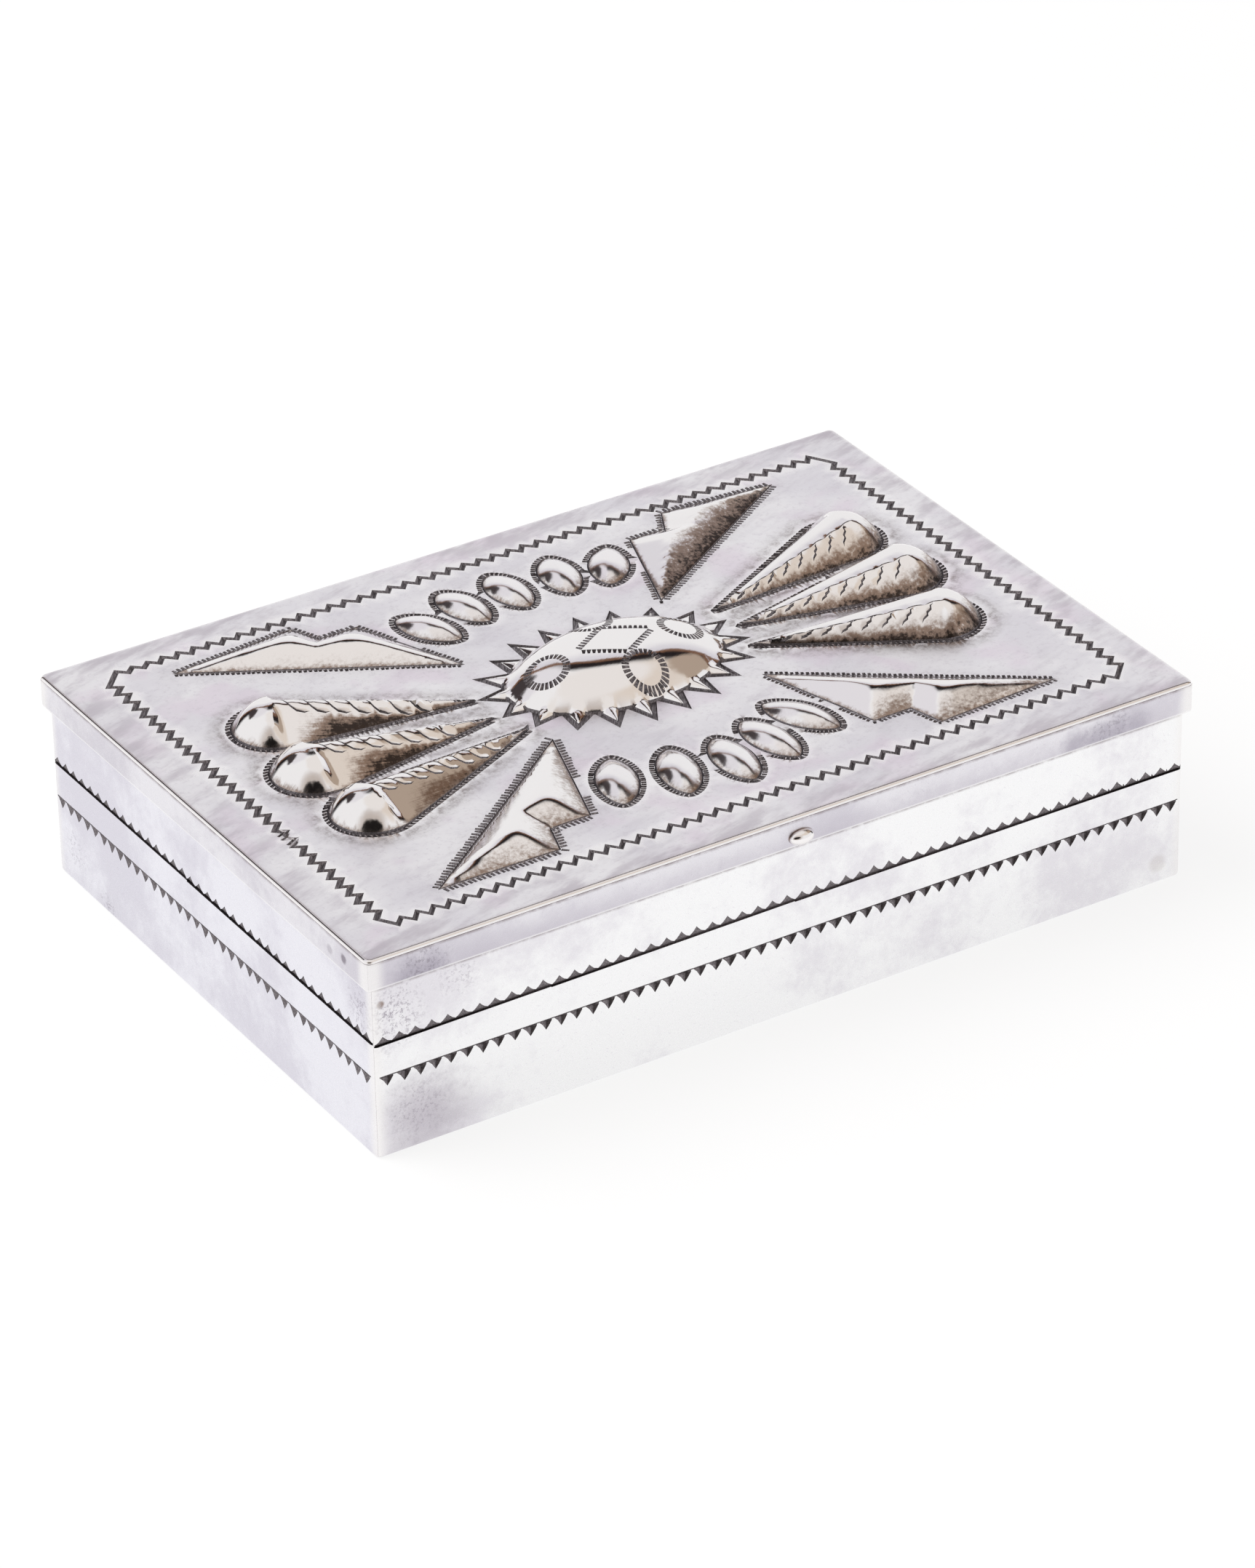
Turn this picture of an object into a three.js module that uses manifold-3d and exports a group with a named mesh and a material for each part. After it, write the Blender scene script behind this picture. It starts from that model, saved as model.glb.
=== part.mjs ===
// A small hinged silver box: walls and floor of soldered sheet, and a shallow lid that slips over the walls.
// The lid's top is one sheet with its ornament pushed up from behind, so each raised form is hollow underneath.
// Millimetres, +Z up, front at -Y. The origin is the centre of the underside of the floor.

import * as THREE from 'three';
import { mergeVertices } from 'three/addons/utils/BufferGeometryUtils.js';
import Module from 'manifold-3d';

// Box
const bodyLength = 113;
const bodyDepth = 77;
const wallHeight = 26.8;
const wallGauge = 0.8;
const baseGauge = 0.8;

// Lid
const lidGauge = 0.5;
const lidCornerRadius = 0.9;
const skirtGauge = 0.5;
const skirtHeight = 3.6;
const lidClearance = 0.3;

// Thumb bead on the front of the skirt
const beadOffset = 1;
const beadWidth = 3.4;
const beadHeight = 2;
const beadDepth = 1.1;
const beadRise = 0.25;

// Hinge: a pin through cut lengths of tube, each soldered to a rail on the wall or on the skirt
const knuckleRadius = 1.2;
const knuckleLength = 11.6;
const knuckleGap = 0.4;
const knucklePad = 1.2;
const hingeDrop = 1.7;
const hingeWallGap = 0.3;
const railGap = 0.1;
const railReach = 0.9;
const railHeight = 1.9;
const pinRadius = 0.55;
const pinClearance = 0.06;
const pinEnd = 0.5;

// Size of the lid that the ornament below is drawn for; the drawing stretches with the lid
const drawnLength = 114.6;
const drawnDepth = 78.6;

// Central boss and its ring of teeth
const boss = { centre: [1.2, 1.9], halfLength: 14.7, halfWidth: 9.4, height: 4.2 };
const toothCount = 20;
const toothReach = [18.1, 13.5];
const toothHeight = 0.6;

// Feathers: the point by the boss, the centre of the round end, its radius
const featherHeight = 3.6;
const featherTipHeight = 0.4;
const feathers = [
  { tip: [-17.2, 4.3], end: [-39.9, 12.3], radius: 5.2 },
  { tip: [-17.5, -0.6], end: [-41.1, 0.6], radius: 5.4 },
  { tip: [-15.2, -5], end: [-40, -11], radius: 5.2 },
  { tip: [19, 7], end: [41.5, 13.3], radius: 5.2 },
  { tip: [19.5, 2.2], end: [42.6, 2.1], radius: 5.4 },
  { tip: [18, -2.8], end: [40.4, -9.8], radius: 5.2 },
];

// Drops: centre, lean from the Y axis in degrees, half length and half width
const dropHeight = 1.3;
const dropHalfWidth = 2.6;
const backDropHalfLength = 4.8;
const frontDropHalfLength = 5.4;
const backDrops = [
  { centre: [-12.5, 22.6], lean: 26 },
  { centre: [-6.2, 24.9], lean: 11 },
  { centre: [0.5, 25.3], lean: 2 },
  { centre: [7.8, 25.2], lean: -11 },
  { centre: [14.2, 24], lean: -29 },
];
const frontDrops = [
  { centre: [-12.7, -21], lean: -23 },
  { centre: [-5.4, -23], lean: -18 },
  { centre: [1.5, -24.2], lean: -6 },
  { centre: [7.6, -22.6], lean: 7 },
  { centre: [13.6, -20.1], lean: 26 },
];

// Bent arrows: far point, outer barb, notch, inner barb, near point
const arrowHeight = 2;
const arrowSlope = 0.5;
const arrows = [
  [[-43.6, 30.3], [-26.5, 32], [-24.9, 28], [-19.6, 28], [-13.4, 12.9]],
  [[42.4, 30.6], [26.9, 32], [25, 28.2], [19.9, 28.2], [14.9, 13]],
  [[-42.4, -30.2], [-26.3, -30.4], [-24.8, -25.8], [-19.3, -25.7], [-13.9, -8.5]],
  [[43.6, -29.6], [26.7, -30.5], [25.4, -25.9], [20.2, -25.9], [15.3, -9.3]],
];

// Sizes that follow
const lidLength = bodyLength + 2 * (lidClearance + skirtGauge);
const lidDepth = bodyDepth + 2 * (lidClearance + skirtGauge);
const lidTop = wallHeight + lidGauge;
const skirtBottom = wallHeight - skirtHeight;
const backWall = bodyDepth / 2;
const hingeY = backWall + hingeWallGap + knuckleRadius;
const hingeZ = skirtBottom - hingeDrop;
const railSeat = knuckleRadius + railGap;
const knucklePitch = knuckleLength + knuckleGap;
const hingeLength = 4 * knucklePitch + knuckleLength;

const wasm = await Module();
wasm.setup();

// Materials

function silver(name, color, roughness) {
  const material = new THREE.MeshStandardMaterial({ color, roughness, metalness: 1 });
  material.name = name;
  return material;
}

const chasedSilver = () => silver('chased silver', 0xcfccd6, 0.22);
const satinSilver = () => silver('satin silver', 0xdedce2, 0.32);
const hingeSilver = () => silver('hinge silver', 0xc4c2c8, 0.35);

// Joins and cuts on closed meshes

function toSolid(geometry) {
  const bare = geometry.clone();
  bare.deleteAttribute('normal');
  bare.deleteAttribute('uv');
  const merged = mergeVertices(bare, 1e-4);
  const corners = merged.index.array;
  const kept = [];
  for (let i = 0; i < corners.length; i += 3) {
    const [a, b, c] = [corners[i], corners[i + 1], corners[i + 2]];
    if (a !== b && b !== c && c !== a) kept.push(a, b, c);
  }
  return new wasm.Manifold(new wasm.Mesh({
    numProp: 3,
    vertProperties: new Float32Array(merged.attributes.position.array),
    triVerts: new Uint32Array(kept),
  }));
}

function toGeometry(solid) {
  const mesh = solid.getMesh();
  const geometry = new THREE.BufferGeometry();
  geometry.setAttribute('position', new THREE.BufferAttribute(new Float32Array(mesh.vertProperties), 3));
  geometry.setIndex(new THREE.BufferAttribute(new Uint32Array(mesh.triVerts), 1));
  geometry.computeVertexNormals();
  return geometry;
}

// Sheet strips

function outlineShape(points) {
  return new THREE.Shape(points.map(([x, y]) => new THREE.Vector2(x, y)));
}

function slab(shape, bottom, height) {
  const geometry = new THREE.ExtrudeGeometry(shape, { depth: height, bevelEnabled: false, curveSegments: 6 });
  geometry.translate(0, 0, bottom);
  return geometry;
}

// Four strips mitred together at the corners, as the walls and the skirt are
function mitredStrips(length, depth, gauge, bottom, height) {
  const [x, y] = [length / 2, depth / 2];
  const [u, v] = [x - gauge, y - gauge];
  const plans = {
    front: [[-x, -y], [x, -y], [u, -v], [-u, -v]],
    right: [[x, -y], [x, y], [u, v], [u, -v]],
    back: [[x, y], [-x, y], [-u, v], [u, v]],
    left: [[-x, y], [-x, -y], [-u, -v], [-u, v]],
  };
  const strips = {};
  for (const side in plans) strips[side] = slab(outlineShape(plans[side]), bottom, height);
  return strips;
}

function roundedRectangle(length, depth, radius) {
  const [x, y] = [length / 2, depth / 2];
  const shape = new THREE.Shape();
  shape.moveTo(-x + radius, -y);
  shape.lineTo(x - radius, -y);
  shape.absarc(x - radius, -y + radius, radius, -Math.PI / 2, 0);
  shape.lineTo(x, y - radius);
  shape.absarc(x - radius, y - radius, radius, 0, Math.PI / 2);
  shape.lineTo(-x + radius, y);
  shape.absarc(-x + radius, y - radius, radius, Math.PI / 2, Math.PI);
  shape.lineTo(-x, -y + radius);
  shape.absarc(-x + radius, -y + radius, radius, Math.PI, 1.5 * Math.PI);
  return shape;
}

// Raised forms of the lid

function onLid([x, y]) {
  return [x * lidLength / drawnLength, y * lidDepth / drawnDepth];
}

// Rings climb from an outline on the sheet to a crest; each outline point has its own place on the crest.
// The steps are [share of the way in to the crest, share of the way up].
const outerClimb = [[0, 0], [0.1, 0.32], [0.3, 0.66], [0.58, 0.9], [1, 1]];
const hollowClimb = [[0, 0], [0.3, 0.66], [1, 1]];

function raisedForm(outline, crest, crestHeights, foot, level, steps, flatTop) {
  const count = outline.length;
  const rings = [outline.map(([x, y]) => [x, y, foot])];
  for (const [inward, upward] of steps) {
    rings.push(outline.map(([x, y], i) => [
      x + (crest[i][0] - x) * inward,
      y + (crest[i][1] - y) * inward,
      level + crestHeights[i] * upward,
    ]));
  }
  const points = rings.flat();
  const corners = [];
  for (let ring = 0; ring + 1 < rings.length; ring += 1) {
    for (let i = 0; i < count; i += 1) {
      const [a, b] = [ring * count + i, ring * count + (i + 1) % count];
      corners.push(a, b, b + count, a, b + count, a + count);
    }
  }
  closeRing(points, corners, 0, count, true);
  if (flatTop) closeRing(points, corners, (rings.length - 1) * count, count, false);
  const geometry = new THREE.BufferGeometry();
  geometry.setAttribute('position', new THREE.Float32BufferAttribute(points.flat(), 3));
  geometry.setIndex(corners);
  return toSolid(geometry);
}

function closeRing(points, corners, start, count, facingDown) {
  const middle = [0, 1, 2].map((k) => {
    let sum = 0;
    for (let i = 0; i < count; i += 1) sum += points[start + i][k];
    return sum / count;
  });
  points.push(middle);
  const centre = points.length - 1;
  for (let i = 0; i < count; i += 1) {
    const [a, b] = [start + i, start + (i + 1) % count];
    corners.push(centre, facingDown ? b : a, facingDown ? a : b);
  }
}

// A form with a straight spine: stations [place along, half width, place on the crest, crest height]
function spinedForm(origin, direction, stations, foot, level) {
  const climb = foot > wallHeight ? outerClimb : hollowClimb;
  const [dx, dy] = direction;
  const sides = [
    ...stations.map((station) => [station, -1]),
    ...[...stations].reverse().map((station) => [station, 1]),
  ];
  const outline = sides.map(([[along, half], side]) => [
    origin[0] + dx * along - dy * half * side,
    origin[1] + dy * along + dx * half * side,
  ]);
  const crest = sides.map(([[, , place]]) => [origin[0] + dx * place, origin[1] + dy * place]);
  const heights = sides.map(([[, , , height]]) => height);
  return raisedForm(outline, crest, heights, foot, level, climb, false);
}

// An oval with more or less pointed ends, used for the boss and the drops
function ovalForm(centre, lean, halfLength, halfWidth, height, ends, segments, foot, level) {
  const crestHalf = (halfLength - halfWidth) * 0.6;
  const stations = [];
  for (let i = 0; i <= segments; i += 1) {
    const along = -Math.cos(Math.PI * i / segments);
    const half = halfWidth * Math.pow(Math.max(0, 1 - along * along), ends);
    stations.push([along * halfLength, half, along * crestHalf, height]);
  }
  return spinedForm(centre, [Math.cos(lean), Math.sin(lean)], stations, foot, level);
}

// A feather narrows from a round end to a point, and its ridge sinks towards the point
function featherForm(tip, end, radius, height, tipHeight, foot, level) {
  const reach = Math.hypot(end[0] - tip[0], end[1] - tip[1]);
  const direction = [(end[0] - tip[0]) / reach, (end[1] - tip[1]) / reach];
  const spread = Math.asin(radius / reach);
  const tangent = reach * Math.cos(spread) ** 2;
  const stations = [];
  const sideSteps = 4;
  const endSteps = 6;
  for (let i = 0; i < sideSteps; i += 1) {
    const along = tangent * i / sideSteps;
    stations.push([along, along * Math.tan(spread)]);
  }
  for (let i = 0; i <= endSteps; i += 1) {
    const turn = (Math.PI / 2 + spread) * (1 - i / endSteps);
    stations.push([reach + radius * Math.cos(turn), radius * Math.sin(turn)]);
  }
  for (const station of stations) {
    const place = Math.min(station[0], reach);
    station.push(place, tipHeight + (height - tipHeight) * Math.pow(place / reach, 0.8));
  }
  return spinedForm(tip, direction, stations, foot, level);
}

// A flat-topped pyramid on a triangle; a cavity stands a sheet's thickness inside it
function trianglePyramid(triangle, slope, height, inset, foot, level) {
  const side = (p, q) => Math.hypot(p[0] - q[0], p[1] - q[1]);
  const weights = [0, 1, 2].map((i) => side(triangle[(i + 1) % 3], triangle[(i + 2) % 3]));
  const around = weights[0] + weights[1] + weights[2];
  const weighed = (k) => triangle.reduce((sum, corner, i) => sum + corner[k] * weights[i], 0);
  const middle = [weighed(0) / around, weighed(1) / around];
  const turn = (p, q, r) => (q[0] - p[0]) * (r[1] - p[1]) - (q[1] - p[1]) * (r[0] - p[0]);
  const doubleArea = turn(...triangle);
  const inRadius = Math.abs(doubleArea) / around;
  const shrink = (inRadius - inset) / inRadius;
  const ordered = doubleArea > 0 ? triangle : [...triangle].reverse();
  const outline = ordered.map((p) => [0, 1].map((k) => middle[k] + (p[k] - middle[k]) * shrink));
  const inward = Math.min(0.96, height / (slope * inRadius * shrink));
  const crest = outline.map((p) => [0, 1].map((k) => p[k] + (middle[k] - p[k]) * inward));
  return raisedForm(outline, crest, [height, height, height], foot, level, [[0, 0], [1, 1]], true);
}

// The notch edge of a bent arrow, carried on to the long edge, splits it into two triangles
function arrowTriangles([far, outerBarb, notch, innerBarb, near]) {
  const along = [near[0] - far[0], near[1] - far[1]];
  const edge = [notch[0] - outerBarb[0], notch[1] - outerBarb[1]];
  const cross = (p, q) => p[0] * q[1] - p[1] * q[0];
  const reach = cross([far[0] - outerBarb[0], far[1] - outerBarb[1]], along) / cross(edge, along);
  const meeting = [outerBarb[0] + edge[0] * reach, outerBarb[1] + edge[1] * reach];
  const level = [innerBarb[0] - notch[0], innerBarb[1] - notch[1]];
  const run = cross([far[0] - innerBarb[0], far[1] - innerBarb[1]], along) / cross(level, along);
  const heel = [innerBarb[0] + level[0] * run, innerBarb[1] + level[1] * run];
  return [[far, outerBarb, meeting], [heel, innerBarb, near]];
}

// Points at even steps round an ellipse
function evenSteps(count, halfLength, halfWidth) {
  const fine = 720;
  const lengths = [0];
  const at = (i) => 2 * Math.PI * i / fine;
  for (let i = 1; i <= fine; i += 1) {
    const [a, b] = [at(i - 1), at(i)];
    lengths.push(lengths[i - 1] + Math.hypot(
      halfLength * (Math.cos(b) - Math.cos(a)),
      halfWidth * (Math.sin(b) - Math.sin(a)),
    ));
  }
  const turns = [];
  for (let i = 0; i < count; i += 1) {
    turns.push(at(lengths.findIndex((sum) => sum >= lengths[fine] * i / count)));
  }
  return turns;
}

// Each form below comes as a pair: the raised outside, rooted in the sheet, and the hollow left behind it
const rooted = wallHeight + lidGauge / 2;
const openBelow = wallHeight - lidGauge;

function bossForms() {
  const centre = onLid(boss.centre);
  const roundEnds = 0.5;
  const oval = (inset, drop, foot) => ovalForm(
    centre, 0, boss.halfLength - inset, boss.halfWidth - inset, boss.height - drop, roundEnds, 16, foot, lidTop,
  );
  return [[oval(0, 0, rooted), oval(lidGauge, lidGauge, openBelow)]];
}

function toothForms() {
  const centre = onLid(boss.centre);
  const sunk = 0.97;
  const halfTurn = 0.95 * Math.PI / toothCount;
  const onEllipse = (turn, halfLength, halfWidth) => [
    centre[0] + halfLength * Math.cos(turn),
    centre[1] + halfWidth * Math.sin(turn),
  ];
  const root = (turn) => onEllipse(turn, boss.halfLength * sunk, boss.halfWidth * sunk);
  const turns = evenSteps(2 * toothCount, ...toothReach).filter((turn, i) => i % 2 === 1);
  return turns.map((turn) => {
    const outline = [root(turn - halfTurn), onEllipse(turn, ...toothReach), root(turn + halfTurn)];
    const crest = outline.map(() => root(turn));
    const heights = outline.map(() => toothHeight);
    return [raisedForm(outline, crest, heights, rooted, lidTop, [[0, 0], [1, 1]], false), null];
  });
}

function featherForms() {
  return feathers.map((feather) => {
    const [tip, end] = [onLid(feather.tip), onLid(feather.end)];
    const reach = Math.hypot(end[0] - tip[0], end[1] - tip[1]);
    const back = 6 * lidGauge / reach;
    const innerTip = [0, 1].map((k) => tip[k] + (end[k] - tip[k]) * back);
    const innerRadius = feather.radius - lidGauge;
    const innerHeight = featherHeight - lidGauge;
    return [
      featherForm(tip, end, feather.radius, featherHeight, featherTipHeight, rooted, lidTop),
      featherForm(innerTip, end, innerRadius, innerHeight, featherTipHeight / 6, openBelow, lidTop),
    ];
  });
}

function dropForms(drops, halfLength) {
  const pointedEnds = 0.65;
  return drops.map((drop) => {
    const lean = Math.PI / 2 + THREE.MathUtils.degToRad(drop.lean);
    const oval = (inset, foot) => ovalForm(
      onLid(drop.centre), lean, halfLength - 2 * inset, dropHalfWidth - inset, dropHeight - inset, pointedEnds, 8, foot, lidTop,
    );
    return [oval(0, rooted), oval(lidGauge, openBelow)];
  });
}

function arrowForms() {
  const triangles = arrows.flatMap((arrow) => arrowTriangles(arrow.map(onLid)));
  const inset = 1.8 * lidGauge;
  return triangles.map((triangle) => [
    trianglePyramid(triangle, arrowSlope, arrowHeight, 0, rooted, lidTop),
    trianglePyramid(triangle, arrowSlope, arrowHeight - lidGauge, inset, openBelow, lidTop),
  ]);
}

function chasedTop() {
  const flat = slab(roundedRectangle(lidLength, lidDepth, lidCornerRadius), wallHeight, lidGauge);
  const forms = [
    ...bossForms(),
    ...toothForms(),
    ...featherForms(),
    ...dropForms(backDrops, backDropHalfLength),
    ...dropForms(frontDrops, frontDropHalfLength),
    ...arrowForms(),
  ];
  let sheet = toSolid(flat);
  for (const [raised] of forms) sheet = sheet.add(raised);
  for (const [, hollow] of forms) {
    if (hollow) sheet = sheet.subtract(hollow);
  }
  return toGeometry(sheet);
}

// Hinge pieces

// Turns a shape drawn in depth and height into a bar along X
const alongX = new THREE.Matrix4().makeBasis(
  new THREE.Vector3(0, 1, 0),
  new THREE.Vector3(0, 0, 1),
  new THREE.Vector3(1, 0, 0),
);

function bar(shape, start, length) {
  const geometry = new THREE.ExtrudeGeometry(shape, { depth: length, bevelEnabled: false, curveSegments: 18 });
  geometry.applyMatrix4(alongX);
  geometry.translate(start, hingeY, hingeZ);
  return geometry;
}

// A tube with a flat pad of solder that sits on its rail: side 1 is up, to the lid, and -1 down, to the wall
function knuckle(middle, side) {
  const half = knucklePad / 2;
  const spread = Math.asin(half / knuckleRadius);
  const start = side * Math.PI / 2 + spread;
  const shape = new THREE.Shape();
  shape.moveTo(half * side, railSeat * side);
  shape.lineTo(-half * side, railSeat * side);
  shape.absarc(0, 0, knuckleRadius, start, start + 2 * (Math.PI - spread));
  const bore = new THREE.Path();
  bore.absarc(0, 0, pinRadius + pinClearance, 0, 2 * Math.PI, true);
  shape.holes.push(bore);
  return bar(shape, middle - knuckleLength / 2, knuckleLength);
}

// The two rails meet edge to edge when the lid is fully open
function rail(inner, bottom) {
  const top = bottom + railHeight;
  const section = outlineShape([[inner, bottom], [railReach, bottom], [railReach, top], [inner, top]]);
  return bar(section, -hingeLength / 2, hingeLength);
}

function hingePin() {
  const half = hingeLength / 2 + pinEnd;
  const edge = pinRadius / 3;
  const profile = [
    [0, -half],
    [pinRadius - edge, -half],
    [pinRadius, -half + edge],
    [pinRadius, half - edge],
    [pinRadius - edge, half],
    [0, half],
  ];
  const geometry = new THREE.LatheGeometry(profile.map(([x, y]) => new THREE.Vector2(x, y)), 24);
  geometry.rotateZ(-Math.PI / 2);
  geometry.translate(0, hingeY, hingeZ);
  return geometry;
}

// A domed bead with a flat back
function thumbBead() {
  const profile = [new THREE.Vector2(0, 0)];
  const steps = 5;
  for (let i = 0; i < steps; i += 1) {
    const turn = Math.PI / 2 * i / steps;
    profile.push(new THREE.Vector2(Math.cos(turn), Math.sin(turn)));
  }
  profile.push(new THREE.Vector2(0, 1));
  const geometry = new THREE.LatheGeometry(profile, 20);
  geometry.scale(beadWidth / 2, beadDepth, beadHeight / 2);
  geometry.rotateX(Math.PI);
  geometry.translate(beadOffset, -lidDepth / 2, skirtBottom + beadRise + beadHeight / 2);
  return geometry;
}

// Assembly

function piece(name, geometry, material) {
  const mesh = new THREE.Mesh(geometry, material);
  mesh.name = name;
  return mesh;
}

const box = new THREE.Group();
const floor = new THREE.BoxGeometry(bodyLength - 2 * wallGauge, bodyDepth - 2 * wallGauge, baseGauge);
floor.translate(0, 0, baseGauge / 2);
box.add(piece('base_plate', floor, satinSilver()));
const walls = mitredStrips(bodyLength, bodyDepth, wallGauge, 0, wallHeight);
for (const side in walls) box.add(piece(`wall_${side}`, walls[side], satinSilver()));
box.add(piece('hinge_rail_body', rail(backWall - hingeY, -railSeat - railHeight), hingeSilver()));
box.add(piece('body_knuckle_left', knuckle(-2 * knucklePitch, -1), hingeSilver()));
box.add(piece('body_knuckle_centre', knuckle(0, -1), hingeSilver()));
box.add(piece('body_knuckle_right', knuckle(2 * knucklePitch, -1), hingeSilver()));
box.add(piece('hinge_pin', hingePin(), hingeSilver()));

const lid = new THREE.Group();
lid.add(piece('lid_top_plate', chasedTop(), chasedSilver()));
const skirt = mitredStrips(lidLength, lidDepth, skirtGauge, skirtBottom, skirtHeight);
for (const side in skirt) lid.add(piece(`lid_skirt_${side}`, skirt[side], satinSilver()));
lid.add(piece('thumb_bead', thumbBead(), chasedSilver()));
lid.add(piece('hinge_rail_lid', rail(lidDepth / 2 - hingeY, railSeat), hingeSilver()));
lid.add(piece('lid_knuckle_left', knuckle(-knucklePitch, 1), hingeSilver()));
lid.add(piece('lid_knuckle_right', knuckle(knucklePitch, 1), hingeSilver()));

const model = new THREE.Group();
model.add(box, lid);

export default model;
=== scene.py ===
# A hinged silver box: stamped walls, a tube hinge and a slip-over lid with pushed-up ornament.
# Pieces are added in the order in which the box is put together, then the studio is set around it.

import math
import random

import bmesh
import bpy
from mathutils import Matrix, Vector
from mathutils.geometry import delaunay_2d_cdt
from mathutils.kdtree import KDTree


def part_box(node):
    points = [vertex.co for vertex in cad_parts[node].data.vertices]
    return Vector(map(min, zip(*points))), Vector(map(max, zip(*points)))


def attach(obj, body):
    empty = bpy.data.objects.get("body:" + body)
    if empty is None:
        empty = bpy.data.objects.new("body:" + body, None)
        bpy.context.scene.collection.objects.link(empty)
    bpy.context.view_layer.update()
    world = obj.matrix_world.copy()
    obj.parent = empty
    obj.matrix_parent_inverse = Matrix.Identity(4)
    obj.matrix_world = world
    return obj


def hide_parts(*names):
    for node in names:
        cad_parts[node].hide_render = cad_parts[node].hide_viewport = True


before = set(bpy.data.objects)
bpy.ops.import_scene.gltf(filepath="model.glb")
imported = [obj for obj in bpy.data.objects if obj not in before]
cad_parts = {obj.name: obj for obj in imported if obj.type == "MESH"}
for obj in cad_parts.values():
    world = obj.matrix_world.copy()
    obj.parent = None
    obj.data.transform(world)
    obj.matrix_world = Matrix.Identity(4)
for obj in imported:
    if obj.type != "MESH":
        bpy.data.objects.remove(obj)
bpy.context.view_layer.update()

MM = 0.001


# Floor of the box
# A flat plate of sterling sheet let in between the walls and soldered round its edge.
# Rolled, then rubbed with fine grit, so it is satin with hair-thin scratches and clouds of tarnish.

def linear(colour):
    channels = []
    for start in (1, 3, 5):
        value = int(colour[start:start + 2], 16) / 255
        channels.append(value / 12.92 if value <= 0.04045 else ((value + 0.055) / 1.055) ** 2.4)
    return (*channels, 1.0)


def add(tree, kind, inputs=None, out=0, **settings):
    node = tree.nodes.new("ShaderNode" + kind)
    for name, value in settings.items():
        setattr(node, name, value)
    for name, value in (inputs or {}).items():
        if isinstance(value, bpy.types.NodeSocket):
            tree.links.new(value, node.inputs[name])
        else:
            node.inputs[name].default_value = value
    return node if out is None else node.outputs[out]


def new_material(name):
    material = bpy.data.materials.new(name)
    material.use_nodes = True
    material.node_tree.nodes.clear()
    return material, material.node_tree


# Hair scratches: noise drawn out along one slanting line, so every face of the box is crossed at an angle
def scratches(tree, place, across, along, turn):
    drawn_out = add(tree, "Mapping", {
        "Vector": place,
        "Rotation": [math.radians(angle) for angle in turn],
        "Scale": (1, 1, along / across),
    }, vector_type="TEXTURE")
    return add(tree, "TexNoise", {
        "Vector": drawn_out, "Scale": 1 / (across * MM), "Detail": 3.0, "Roughness": 0.6,
    })


# A coat of another colour: it begins where a value passes its start,
# and has its most cover where the value is full
def coat(tree, colour, value, start, full, most, paint):
    cover = add(tree, "MapRange", {
        "Value": value, "From Min": start, "From Max": full, "To Max": most,
    }, interpolation_type="SMOOTHSTEP")
    return add(tree, "Mix", {0: cover, 6: colour, 7: linear(paint)}, out=2, data_type="RGBA")


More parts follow.
